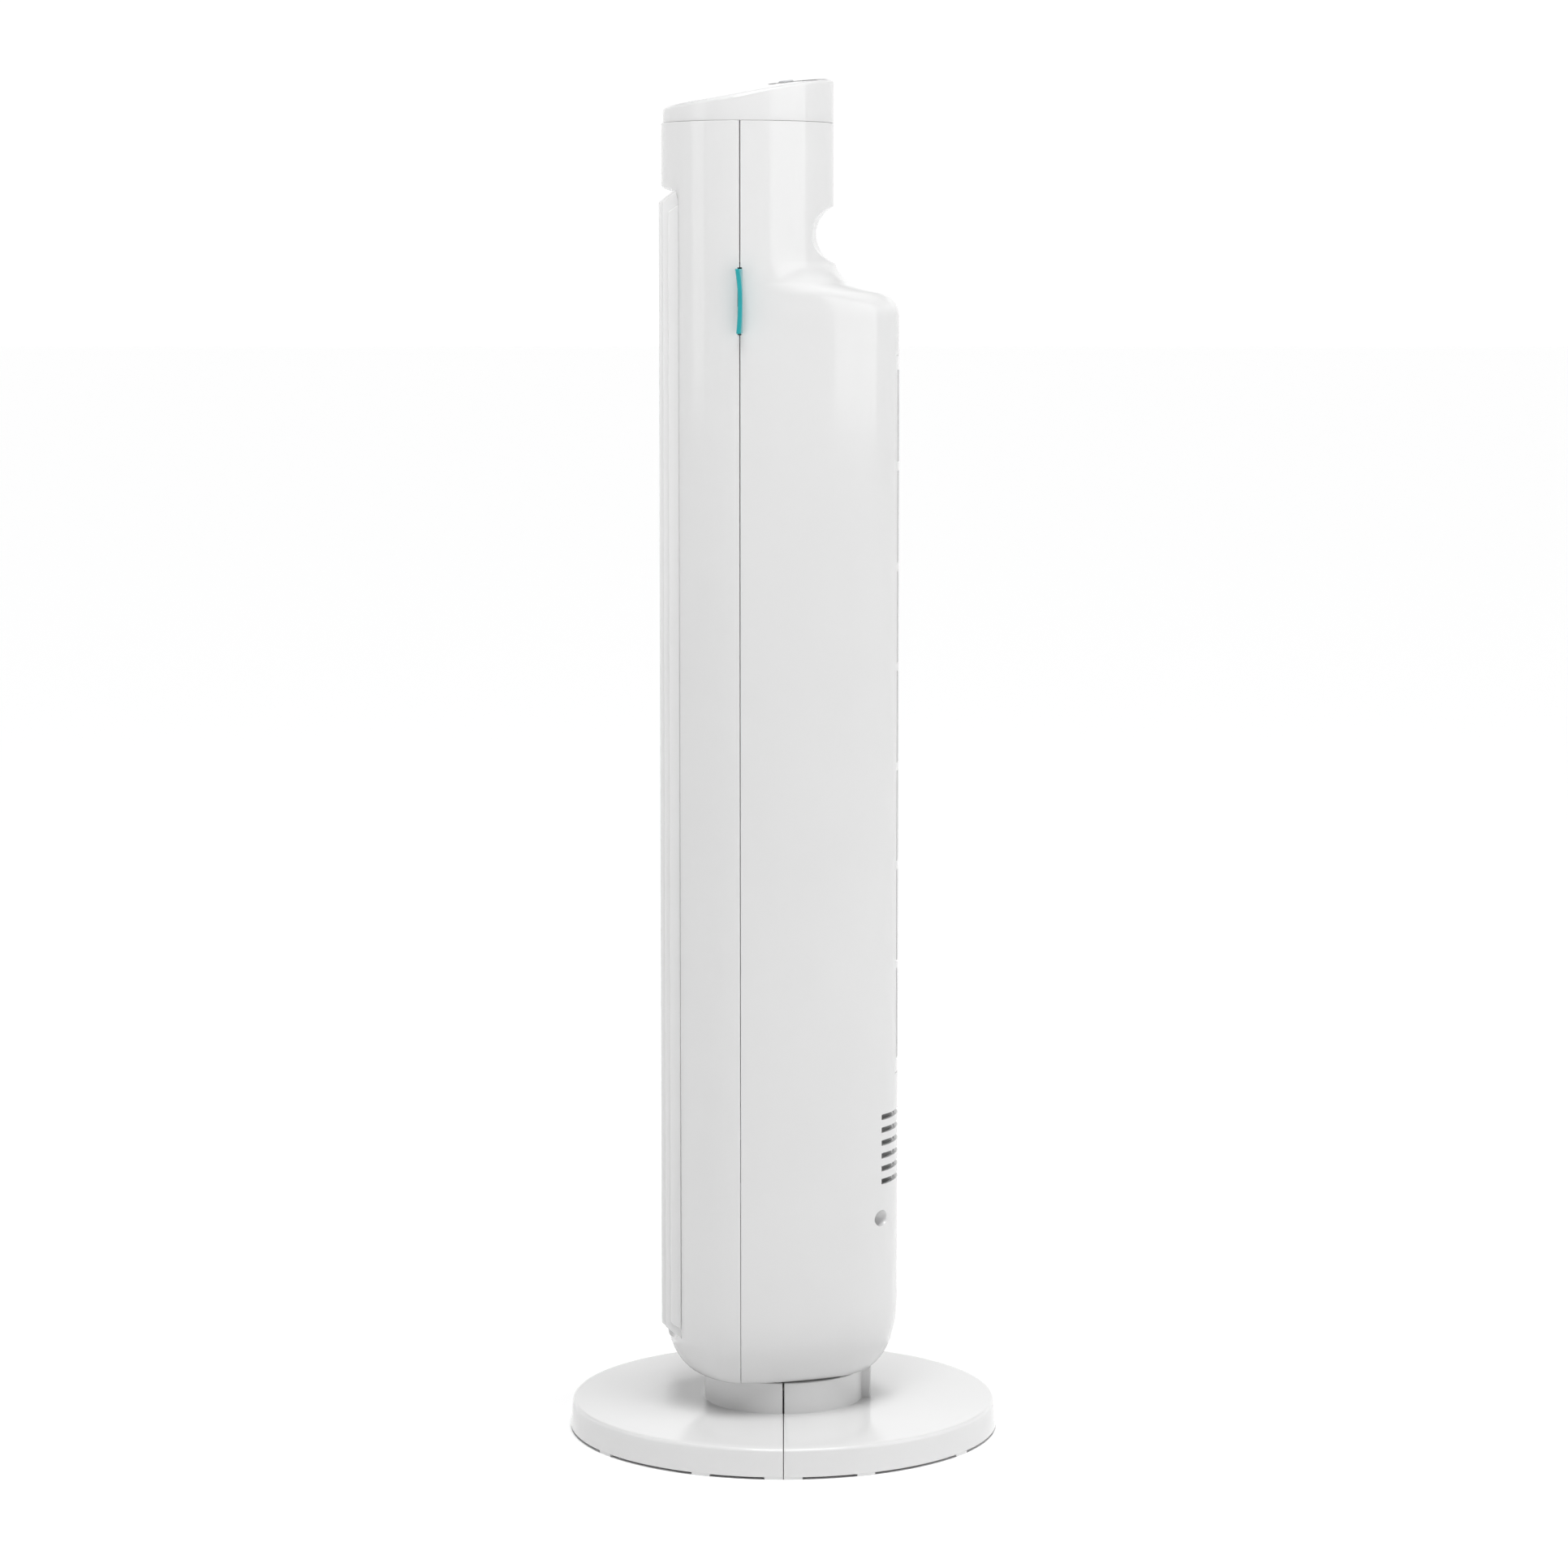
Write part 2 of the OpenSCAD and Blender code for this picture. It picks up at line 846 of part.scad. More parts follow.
module stub_shaft()
    color([0.8, 0.8, 0.82])
        at_blower(wheel_z1)
            cylinder(r = 3, h = duct_top + 8 - wheel_z1);

// Rear wall of the duct: a widening spiral, then a straight run to the outlet
module scroll_casing()
    color([0.85, 0.85, 0.85])
        translate([0, 0, plate_z + plate_h])
            linear_extrude(height = duct_top - plate_z - plate_h)
                polygon(concat(
                    [for (a = [120:8:232]) scroll_point(a, 43)],
                    [[-31, window_y + wall + 0.3], [-33, window_y + wall + 0.3]],
                    [for (a = [232:-8:120]) scroll_point(a, 45)]));

function scroll_point(a, r) = [0, blower_y] + (r + (a - 120) * 0.095) * [cos(a), sin(a)];

module air_tongue()
    color([0.85, 0.85, 0.85])
        translate([0, 0, plate_z + plate_h])
            linear_extrude(height = duct_top - plate_z - plate_h) {
                translate([32, window_y + wall + 0.3])
                    square([2, 30]);
                translate([34, -28])
                    circle(3);
            }

module top_bearing_plate()
    color([0.85, 0.85, 0.85])
        difference() {
            union() {
                tower_plate(duct_top, 3, wall + 0.2);
                at_blower(duct_top)
                    cylinder(r = 12, h = 8);
            }
            at_blower(duct_top - 1)
                cylinder(r = 8, h = 12);
        }

module top_bearing()
    color([0.75, 0.6, 0.35])
        at_blower(duct_top)
            ring(3 + run_fit, 8, 8);

// ---------- electrics ----------

module run_capacitor()
    color([0.15, 0.15, 0.16])
        translate([-20, -52, 94])
            cube([40, 17, 26]);

module power_board()
    color([0.1, 0.4, 0.2])
        translate([-38, -46, 660])
            cube([76, 1.6, 100]);

module power_parts()
    color([0.2, 0.2, 0.22]) {
        translate([-30, -44.4, 668])
            cube([30, 24, 26]);
        for (x = [8, 22])
            translate([x, -44.4, 670])
                cube([10, 15, 18]);
        for (x = [-24, -8, 8])
            translate([x, -44.4, 712])
                rotate([-90, 0, 0])
                    cylinder(r = 6, h = 14);
        translate([-28, -44.4, 735])
            cube([56, 9, 12]);
    }

module wiring_loom()
    color([0.2, 0.2, 0.2])
        translate([loom_x, loom_y, 110])
            cylinder(r = 2.2, h = 560);

// ---------- top cap and controls ----------

module crown(r)
    translate([0, crown_y, crown_z])
        sphere(r = r, $fn = 180);

module cap_plan(d) {
    front_plan(d + 1);
    neck_plan(d);
    translate([-tower_half_w + 1 + d, seam_y - 0.5])
        square([2 * (tower_half_w - 1 - d), 1]);
}

// Places things on the panel: local Z is the way out of the buttons
module on_panel()
    translate([0, panel_y, panel_z])
        rotate([panel_tilt, 0, 0])
            children();

function button_x(i) = (i - 2) * button_pitch;

// How far the crowned surface lies under the middle of the panel at x
function panel_sag(x) = x * x / (2 * crown_r);

module panel_outline(d)
    intersection() {
        neck_plan(3 + d);
        translate([-30 + d, -9 + d])
            square([60 - 2 * d, 40]);
    }

module button_holes()
    on_panel()
        for (i = [0:button_count - 1])
            translate([button_x(i), 0, -12])
                cylinder(r = button_r + 0.3, h = 20);

module lens_hole(d)
    translate([-lens_size[0] / 2 - d, lens_y - d, cap_z])
        cube([lens_size[0] + 2 * d, lens_size[1] + 2 * d, 60]);

// Ring inside the rim of the cap, from d0 inwards; it plugs into the shells
module cap_rim(z, h, d0)
    translate([0, 0, z])
        linear_extrude(height = h)
            difference() {
                cap_plan(d0);
                cap_plan(wall + 1.8);
            }

module top_cap()
    color(white)
        difference() {
            union() {
                difference() {
                    intersection() {
                        translate([0, 0, cap_z + 0.3])
                            linear_extrude(height = 40)
                                cap_plan(0);
                        crown(crown_r);
                    }
                    intersection() {
                        translate([0, 0, cap_z - 1])
                            linear_extrude(height = 40)
                                cap_plan(2.4);
                        crown(crown_r - cap_wall);
                    }
                }
                cap_rim(cap_z - 5, 6, wall + 0.2);
                cap_rim(cap_z + 0.3, 3, wall - 0.6);
                intersection() {
                    on_panel()
                        for (x = [-board_screw_x, board_screw_x])
                            translate([x, 0, board_z + board_h])
                                cylinder(r = 3, h = 9);
                    crown(crown_r - cap_wall + 0.5);
                }
            }
            difference() {
                translate([0, 0, cap_z])
                    linear_extrude(height = 60)
                        panel_outline(0);
                crown(crown_r - panel_h);
            }
            button_holes();
            lens_hole(0);
            on_panel()
                for (x = [-board_screw_x, board_screw_x])
                    translate([x, 0, board_z])
                        cylinder(r = 1.2, h = 6);
        }

module control_panel()
    color([0.05, 0.05, 0.06])
        difference() {
            intersection() {
                translate([0, 0, cap_z])
                    linear_extrude(height = 60)
                        panel_outline(0.1);
                difference() {
                    crown(crown_r + panel_lift);
                    crown(crown_r - panel_h + 0.02);
                }
            }
            button_holes();
            lens_hole(0.1);
        }

module display_lens()
    color([0.1, 0.1, 0.12, 0.6])
        intersection() {
            lens_hole(-0.1);
            difference() {
                crown(crown_r + panel_lift);
                crown(crown_r - panel_h);
            }
        }

module led_display()
    color([0.1, 0.1, 0.1])
        on_panel()
            translate([-12, lens_y - panel_y + 0.8, board_z + board_h])
                cube([24, 6.4, 5]);

module control_board()
    color([0.1, 0.4, 0.2])
        on_panel()
            difference() {
                union() {
                    translate([-37, -9, board_z])
                        cube([74, 15, board_h]);
                    translate([-20, 5, board_z])
                        cube([40, 14, board_h]);
                }
                for (x = [-board_screw_x, board_screw_x])
                    translate([x, 0, board_z - 1])
                        cylinder(r = 1.2, h = 4);
            }

module tact_switches()
    color([0.2, 0.2, 0.2])
        on_panel()
            for (i = [0:button_count - 1])
                translate([button_x(i) - 3, -3, board_z + board_h])
                    cube([6, 6, switch_h - panel_sag(button_x(i))]);

module board_screws()
    color([0.6, 0.6, 0.62])
        on_panel()
            for (x = [-board_screw_x, board_screw_x])
                translate([x, 0, board_z])
                    mirror([0, 0, 1])
                        screw(1.2, 5.5, 2.4, 1.5);

// Push button i: its cap stands proud of the panel and a flange under the cap keeps it in
module button(i)
    color([0.85, 0.86, 0.88])
        on_panel()
            translate([button_x(i), 0, -panel_sag(button_x(i))]) {
                translate([0, 0, button_foot])
                    cylinder(r = button_r, h = button_proud - button_foot);
                translate([0, 0, button_foot])
                    cylinder(r = button_r + 1, h = 1);
            }

module button_power() button(0);
module button_speed() button(1);
module button_mode() button(2);
module button_timer() button(3);
module button_swing() button(4);

base_front_half();
base_rear_half();
base_screws();
rubber_feet();
pivot_post();
post_screws();
slip_washer();
retaining_clip();
slotted_arm();
arm_nut();
front_shell();
rear_shell();
top_cap();
front_grille();
rear_inlet_grille();
side_tag();
shell_screws();
swivel_housing();
swivel_bush();
housing_screws();
crank_bracket();
oscillation_motor();
oscillation_screws();
crank_disc();
crank_pin();
motor_stator();
motor_windings();
motor_lower_bell();
motor_upper_bell();
motor_bearings();
motor_plate();
motor_grommets();
motor_screws();
motor_rotor();
motor_shaft();
drive_hub();
impeller();
stub_shaft();
scroll_casing();
air_tongue();
top_bearing_plate();
top_bearing();
run_capacitor();
power_board();
power_parts();
wiring_loom();
control_panel();
display_lens();
led_display();
control_board();
tact_switches();
board_screws();
button_power();
button_speed();
button_mode();
button_timer();
button_swing();
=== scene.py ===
"""Tower fan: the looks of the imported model, in metres, in the model's own frame.

The air leaves towards -Y, the swivel axis is Z, and the camera looks along -X from the tag's side.
"""
import json
import math

import bmesh
import bpy
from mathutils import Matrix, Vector


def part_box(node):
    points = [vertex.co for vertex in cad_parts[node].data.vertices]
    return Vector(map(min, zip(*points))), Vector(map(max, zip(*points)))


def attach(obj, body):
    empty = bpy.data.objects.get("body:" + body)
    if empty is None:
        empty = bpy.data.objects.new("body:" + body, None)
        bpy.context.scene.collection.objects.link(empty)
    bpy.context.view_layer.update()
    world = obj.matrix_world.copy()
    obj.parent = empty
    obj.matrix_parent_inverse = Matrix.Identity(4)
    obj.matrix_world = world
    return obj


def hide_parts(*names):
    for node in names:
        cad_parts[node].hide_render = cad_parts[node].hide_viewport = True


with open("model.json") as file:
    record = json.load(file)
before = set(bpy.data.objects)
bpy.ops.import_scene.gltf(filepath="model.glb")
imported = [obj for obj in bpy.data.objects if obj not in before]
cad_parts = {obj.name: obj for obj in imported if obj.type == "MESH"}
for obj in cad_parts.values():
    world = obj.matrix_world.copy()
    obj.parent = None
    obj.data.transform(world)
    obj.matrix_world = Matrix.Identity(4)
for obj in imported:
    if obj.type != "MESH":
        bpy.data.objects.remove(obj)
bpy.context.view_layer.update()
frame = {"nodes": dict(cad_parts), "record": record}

MM = 0.001
RECORD = frame["record"]
BODY_OF = {node: body for body, nodes in RECORD["behaviour"]["bodies"].items() for node in nodes}
SLOT_OF = {part["node"]: part["material_slot"] for part in RECORD["subparts"]}

# ---------- driving sizes in millimetres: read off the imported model, or the same as in part.scad ----------


def box_mm(node):
    """Lowest and highest corner of a CAD node, in millimetres."""
    low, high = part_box(node)
    return [v / MM for v in low], [v / MM for v in high]


front_low, front_high = box_mm("front_shell")
rear_high = box_mm("rear_shell")[1]
grille_low = box_mm("front_grille")[0]
base_high = box_mm("base_rear_half")[1]
inlet_low, inlet_high = box_mm("rear_inlet_grille")
tag_low, tag_high = box_mm("side_tag")

HALF_W = front_high[0]
FLOOR_Z = front_low[2]
CAP_Z = front_high[2]
SEAM_Y = -25.0  # the plane where the two shells meet
FRONT_DEPTH = SEAM_Y - front_low[1]
REAR_DEPTH = rear_high[1] - SEAM_Y
NECK_DEPTH = 54.5
FRONT_SIDE_R = 35.0
REAR_SIDE_R = 143.3
NECK_SIDE_R = 45.0
WALL = 2.4
POST_HOLE_R = 18.3
BASE_R = base_high[0]
COLLAR_TOP = base_high[2]

# Rounded foot of the tower: how far it draws in and how high it reaches
FOOT_W = 20.0
FOOT_H = 41.0

# ---------- small mesh tools ----------


def obj_from(name, points_mm, faces):
    """A new object from points in millimetres."""
    mesh = bpy.data.meshes.new(name)
    mesh.from_pydata([Vector(p) * MM for p in points_mm], [], faces)
    mesh.update()
    made = bpy.data.objects.new(name, mesh)
    bpy.context.scene.collection.objects.link(made)
    return made


def loft(name, rings):
    """A closed solid through rings of equal length."""
    n = len(rings[0])
    points = [p for ring in rings for p in ring]
    faces = []
    for k in range(len(rings) - 1):
        for i in range(n):
            j = (i + 1) % n
            faces.append((k * n + i, k * n + j, (k + 1) * n + j, (k + 1) * n + i))
    faces.append(tuple(range(n - 1, -1, -1)))
    faces.append(tuple((len(rings) - 1) * n + i for i in range(n)))
    made = obj_from(name, points, faces)
    face_out(made)
    return made


def face_out(made):
    """Turns all faces of a closed mesh outwards."""
    bm = bmesh.new()
    bm.from_mesh(made.data)
    bmesh.ops.recalc_face_normals(bm, faces=bm.faces)
    bm.to_mesh(made.data)
    bm.free()


def prism_x(name, outline_yz, x0, x1):
    """A closed prism along X from an outline of (Y, Z) points."""
    return loft(name, [[(x, y, z) for y, z in outline_yz] for x in (x0, x1)])


def box(name, low, high):
    """A closed box between two corners."""
    x0, y0, z0 = low
    x1, y1, z1 = high
    return loft(name, [[(x0, y0, z), (x1, y0, z), (x1, y1, z), (x0, y1, z)] for z in (z0, z1)])


def turns(n):
    """Angles of n equal steps round a circle."""
    return [2 * math.pi * i / n for i in range(n)]


def between(a, b, steps):
    """Equal steps from a, which is left out, to b."""
    return [a + (b - a) * i / steps for i in range(1, steps + 1)]


def rod_y(name, x, z, r, y0, y1):
    """A closed cylinder along Y."""
    return loft(name, [[(x + r * math.cos(a), y, z + r * math.sin(a)) for a in turns(48)] for y in (y0, y1)])


def lathe(name, profile, at, direction):
    """A closed solid of revolution: profile holds (radius, height) along the direction."""
    w = Vector(direction).normalized()
    u = w.orthogonal().normalized()
    v = w.cross(u)
    spokes = [u * math.cos(a) + v * math.sin(a) for a in turns(48)]
    return loft(name, [[tuple(Vector(at) + w * h + spoke * r) for spoke in spokes] for r, h in profile])


def apply_modifiers(made):
    """Replaces an object's mesh by its evaluated mesh."""
    graph = bpy.context.evaluated_depsgraph_get()
    done = bpy.data.meshes.new_from_object(made.evaluated_get(graph))
    made.modifiers.clear()
    old = made.data
    made.data = done
    bpy.data.meshes.remove(old)


def boolean(made, other, operation="DIFFERENCE"):
    """Cuts other out of made, or joins it in, and deletes other."""
    step = made.modifiers.new("cut", "BOOLEAN")
    step.operation = operation
    step.solver = "MANIFOLD"
    step.object = other
    apply_modifiers(made)
    bpy.data.objects.remove(other)


def join(made, others):
    """Adds the meshes of others to made, and deletes them."""
    bm = bmesh.new()
    bm.from_mesh(made.data)
    for other in others:
        bm.from_mesh(other.data)
        bpy.data.objects.remove(other)
    bm.to_mesh(made.data)
    bm.free()


def bevel(made, width_mm, segments=2, angle=35):
    """Rounds the sharp edges of an object."""
    step = made.modifiers.new("round", "BEVEL")
    step.width = width_mm * MM
    step.segments = segments
    step.limit_method = "ANGLE"
    step.angle_limit = math.radians(angle)
    step.harden_normals = False
    apply_modifiers(made)


def round_along(made, axis, r, segments=6):
    """Rounds the four edges of a box that run along an axis (1 is Y, 2 is Z)."""
    bm = bmesh.new()
    bm.from_mesh(made.data)
    edges = [e for e in bm.edges if abs((e.verts[0].co - e.verts[1].co).normalized()[axis]) > 0.99]
    bmesh.ops.bevel(bm, geom=edges, offset=r * MM, segments=segments, affect="EDGES", profile=0.5)
    bm.to_mesh(made.data)
    bm.free()


def smooth(made, angle):
    """Smooth shading that keeps edges sharper than the angle."""
    made.data.shade_smooth()
    bm = bmesh.new()
    bm.from_mesh(made.data)
    limit = math.radians(angle)
    for edge in bm.edges:
        if len(edge.link_faces) == 2:
            edge.smooth = edge.calc_face_angle(0) < limit
    bm.to_mesh(made.data)
    bm.free()


def show(made, node, angle=32):
    """Finishes a piece: shading, body, the CAD node it stands for and its material."""
    smooth(made, angle)
    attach(made, BODY_OF[node])
    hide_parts(node)
    made.data.materials.clear()
    made.data.materials.append(MATERIALS[SLOT_OF[node]])


# ---------- materials ----------


NOISE_LOW = 0.3
NOISE_HIGH = 0.7


def new_material(name):
    """A material with its node tree and its shader."""
    made = bpy.data.materials.new(name)
    made.use_nodes = True
    tree = made.node_tree
    return made, tree, tree.nodes["Principled BSDF"]


def noise(tree, scale, detail=2.0, stretch=(1, 1, 1)):
    """Noise in object space, with a scale per metre on each axis."""
    place = tree.nodes.new("ShaderNodeTexCoord")
    mapping = tree.nodes.new("ShaderNodeMapping")
    mapping.inputs["Scale"].default_value = stretch
    texture = tree.nodes.new("ShaderNodeTexNoise")
    texture.inputs["Scale"].default_value = scale
    texture.inputs["Detail"].default_value = detail
    tree.links.new(place.outputs["Object"], mapping.inputs["Vector"])
    tree.links.new(mapping.outputs["Vector"], texture.inputs["Vector"])
    return texture.outputs["Fac"]


def spread(tree, value, low, high):
    """Maps the usual span of a noise value to a range."""
    node = tree.nodes.new("ShaderNodeMapRange")
    node.inputs["From Min"].default_value = NOISE_LOW
    node.inputs["From Max"].default_value = NOISE_HIGH
    node.inputs["To Min"].default_value = low
    node.inputs["To Max"].default_value = high
    tree.links.new(value, node.inputs["Value"])
    return node.outputs["Result"]


def tint(tree, value, dark, light):
    """A colour between two, by a noise value."""
    ramp = tree.nodes.new("ShaderNodeValToRGB")
    ramp.color_ramp.elements[0].position = NOISE_LOW
    ramp.color_ramp.elements[1].position = NOISE_HIGH
    ramp.color_ramp.elements[0].color = (*dark, 1)
    ramp.color_ramp.elements[1].color = (*light, 1)
    tree.links.new(value, ramp.inputs["Fac"])
    return ramp.outputs["Color"]


def bump(tree, shader, value, depth_mm):
    """Relief of the surface, by a noise value."""
    node = tree.nodes.new("ShaderNodeBump")
    node.inputs["Strength"].default_value = 1.0
    node.inputs["Distance"].default_value = depth_mm * MM
    tree.links.new(value, node.inputs["Height"])
    tree.links.new(node.outputs["Normal"], shader.inputs["Normal"])


def scaled(colour, k):
    """A colour made lighter or darker."""
    return tuple(min(1.0, c * k) for c in colour)


def moulded(name, colour, rough, grain_mm, grain_depth, coat=0.0, ior=1.5, vary=0.015):
    """Moulded plastic: a faint cloud of colour, uneven gloss and a fine skin texture."""
    made, tree, shader = new_material(name)
    cloud = tint(tree, noise(tree, 9.0, 3.0), scaled(colour, 1 - vary), scaled(colour, 1 + vary))
    gloss = spread(tree, noise(tree, 55.0, 4.0), rough * 0.9, rough * 1.12)
    tree.links.new(cloud, shader.inputs["Base Color"])
    tree.links.new(gloss, shader.inputs["Roughness"])
    bump(tree, shader, noise(tree, 1.0 / (grain_mm * MM), 2.0), grain_depth)
    shader.inputs["IOR"].default_value = ior
    shader.inputs["Coat Weight"].default_value = coat
    shader.inputs["Coat Roughness"].default_value = 0.06
    return made


def metal(name, colour, rough, scale, depth, stretch=(1, 1, 1)):
    """Metal with drawn or cast grain."""
    made, tree, shader = new_material(name)
    grain = noise(tree, scale, 3.0, stretch)
    tree.links.new(tint(tree, grain, scaled(colour, 0.9), scaled(colour, 1.06)), shader.inputs["Base Color"])
    tree.links.new(spread(tree, grain, rough * 0.8, rough * 1.25), shader.inputs["Roughness"])
    bump(tree, shader, grain, depth)
    shader.inputs["Metallic"].default_value = 1.0
    return made


def rubber(name, colour, rough, depth):
    """Soft rubber with a fine matt skin."""
    made, tree, shader = new_material(name)
    skin = noise(tree, 2600.0, 4.0)
    cloud = tint(tree, noise(tree, 120.0), scaled(colour, 0.94), scaled(colour, 1.05))
    tree.links.new(cloud, shader.inputs["Base Color"])
    tree.links.new(spread(tree, skin, rough * 0.92, rough * 1.08), shader.inputs["Roughness"])
    bump(tree, shader, skin, depth)
    shader.inputs["Sheen Weight"].default_value = 0.15
    return made


def all_materials():
    """One material for each slot of the record; five of the colours are tuned here for the studio's light."""
    colour = {m["slot"]: tuple(m["base_color"][:3]) for m in RECORD["materials"]}
    colour["white_shell"] = (0.68, 0.68, 0.68)
    colour["white_base"] = (0.67, 0.67, 0.67)
    colour["white_grille"] = (0.73, 0.73, 0.73)
    colour["teal_rubber"] = (0.0, 0.31, 0.34)
    colour["impeller_plastic"] = (0.07, 0.072, 0.075)
    plastics = {
        "white_shell": dict(rough=0.1, grain_mm=2.2, grain_depth=0.002),
        "white_base": dict(rough=0.1, grain_mm=2.5, grain_depth=0.002, ior=1.38),
        "white_grille": dict(rough=0.2, grain_mm=1.2, grain_depth=0.004),
        "nylon": dict(rough=0.45, grain_mm=0.8, grain_depth=0.01),
        "duct_plastic": dict(rough=0.5, grain_mm=0.9, grain_depth=0.012),
        "impeller_plastic": dict(rough=0.42, grain_mm=0.7, grain_depth=0.012),
        "board_green": dict(rough=0.3, grain_mm=0.5, grain_depth=0.01, vary=0.12),
        "black_plastic": dict(rough=0.45, grain_mm=0.5, grain_depth=0.015, vary=0.1),
        "panel_black": dict(rough=0.07, grain_mm=3.0, grain_depth=0.001, coat=0.6, vary=0.1),
        "smoked_lens": dict(rough=0.05, grain_mm=3.0, grain_depth=0.001, coat=0.8, vary=0.1),
        "button_grey": dict(rough=0.3, grain_mm=0.6, grain_depth=0.006),
    }
    metals = {
        "zinc_steel": dict(rough=0.28, scale=900.0, depth=0.01),
        "bright_steel": dict(rough=0.18, scale=700.0, depth=0.01, stretch=(1, 1, 12)),
        "sheet_steel": dict(rough=0.38, scale=160.0, depth=0.02),
        "cast_bell": dict(rough=0.42, scale=420.0, depth=0.04),
        "laminations": dict(rough=0.4, scale=900.0, depth=0.05, stretch=(0.05, 0.05, 3)),
        "copper": dict(rough=0.25, scale=500.0, depth=0.08, stretch=(0.1, 0.1, 4)),
        "bronze": dict(rough=0.45, scale=1200.0, depth=0.02),
    }
    rubbers = {
        "teal_rubber": dict(rough=0.38, depth=0.015),
        "black_rubber": dict(rough=0.55, depth=0.03),
    }
    made = {slot: moulded(slot, colour[slot], **how) for slot, how in plastics.items()}
    made |= {slot: metal(slot, colour[slot], **how) for slot, how in metals.items()}
    made |= {slot: rubber(slot, colour[slot], **how) for slot, how in rubbers.items()}
    return made


MATERIALS = all_materials()
for cad_name, cad_obj in frame["nodes"].items():
    cad_obj.data.materials.clear()
    cad_obj.data.materials.append(MATERIALS[SLOT_OF[cad_name]])

# ---------- outlines of the tower ----------


def face_radius(depth, side_r):
    """Radius of the face arc that meets both side arcs smoothly."""
    a = HALF_W - side_r
    return (depth * depth + a * a - side_r * side_r) / (2 * (depth - side_r))


def outline_point(depth, side_r, angle, inset):
    """Point of half an outline where its normal is at the angle from +X; Y counts from the seam."""
    face_r = face_radius(depth, side_r)
    side_x = HALF_W - side_r
    sign = 1 if face_r > side_r else -1
    turn = math.atan2(sign * (face_r - depth), sign * side_x)
    c, n = math.cos(angle), math.sin(angle)
    if angle < turn:
        return side_x + (side_r - inset) * c, (side_r - inset) * n
    if angle > math.pi - turn:
        return -side_x + (side_r - inset) * c, (side_r - inset) * n
    return (face_r - inset) * c, depth - face_r + (face_r - inset) * n


def spaced_angles(turn_deg, side_steps, face_steps):
    """Normal angles along half an outline: both side arcs up to the turn, and the face arc between."""
    turn = math.radians(turn_deg)
    side = [turn * i / side_steps for i in range(1, side_steps)]
    face = [turn + (math.pi - 2 * turn) * i / face_steps for i in range(face_steps + 1)]
    return side + face + [math.pi - a for a in reversed(side)]


EDGE_R = 0.45
SEAM_GAP_LOW = 0.1
SEAM_GAP_RISE = 0.13
FOOT_SIDE_K = 0.65  # the foot draws in less at the sides than at the front and back
RIM_R = 0.4
FRONT_ANGLES = spaced_angles(41.4, 12, 46)
REAR_ANGLES = spaced_angles(27.44, 24, 46)


def half_gap(z):
    """Half of the seam's gap: it opens a little towards the top."""
    k = (z - FLOOR_Z) / (CAP_Z - FLOOR_Z)
    return SEAM_GAP_LOW + SEAM_GAP_RISE * max(0.0, min(1.0, k))


def half_ring(point_at, angles, z, side, gap, drawn):
    """Ring of half a tower section: rounded edges at the seam and arcs between. side is -1 front, 1 rear."""
    edge_x = point_at(0.0)[0] - EDGE_R
    fillet = [math.radians(-90 + 22.5 * i) for i in range(5)]
    corner = [(edge_x + EDGE_R * math.cos(a), gap + EDGE_R + EDGE_R * math.sin(a)) for a in fillet]
    arcs = [p for p in map(point_at, angles) if p[1] > gap + EDGE_R + 0.15]
    ring = corner + arcs + [(-x, y) for x, y in reversed(corner)]
    k = (HALF_W - FOOT_SIDE_K * drawn) / (HALF_W - drawn)
    return [(k * x, SEAM_Y + side * y, z) for x, y in ring]


def foot_levels(inset):
    """(z, inset) pairs up the rounded foot of the tower."""
    return [(FLOOR_Z + FOOT_H - (FOOT_H - inset) * math.cos(a), FOOT_W - (FOOT_W - inset) * math.sin(a))
            for a in [math.pi / 2 * i / 16 for i in range(17)]]


def drawn_in(z, d, inset):
    """How far a level of the foot is drawn in beyond the wall's own inset."""
    return max(0.0, d - inset) if z < FLOOR_Z + FOOT_H else 0.0


def rim_levels(inset):
    """(z, inset) pairs round the top rim."""
    return [(CAP_Z - RIM_R + RIM_R * math.sin(a), inset + RIM_R * (1 - math.cos(a)))
            for a in [math.radians(18 * i) for i in range(6)]]


# ---------- shoulder and neck ----------

NECK_Y = SEAM_Y + NECK_DEPTH
BODY_Y = SEAM_Y + REAR_DEPTH
SHOULDER_R = 15.0
SHOULDER = (BODY_Y - SHOULDER_R, CAP_Z - 111.8)
HOLLOW_R = 18.7
HOLLOW = (BODY_Y - 20.0, CAP_Z - 75.3)
HOLLOW_END = math.radians(193)


def arc(centre, radius, start, end, steps):
    """Points of an arc in the (Y, Z) plane."""
    made = [start + (end - start) * i / steps for i in range(steps + 1)]
    return [(centre[0] + radius * math.cos(a), centre[1] + radius * math.sin(a)) for a in made]


def shoulder_profile():
    """(Y, Z) points of the back of the shoulder, from the body up to the neck."""
    dy, dz = HOLLOW[0] - SHOULDER[0], HOLLOW[1] - SHOULDER[1]
    lean = math.atan2(dz, dy) - math.acos((SHOULDER_R + HOLLOW_R) / math.hypot(dy, dz))
    outer = arc(SHOULDER, SHOULDER_R, 0.0, lean, 14)
    hollow = arc(HOLLOW, HOLLOW_R, math.pi + lean, HOLLOW_END, 12)
    middle = [tuple((p * (4 - i) + q * i) / 4 for p, q in zip(outer[-1], hollow[0])) for i in (1, 2, 3)]
    return outer + middle + hollow


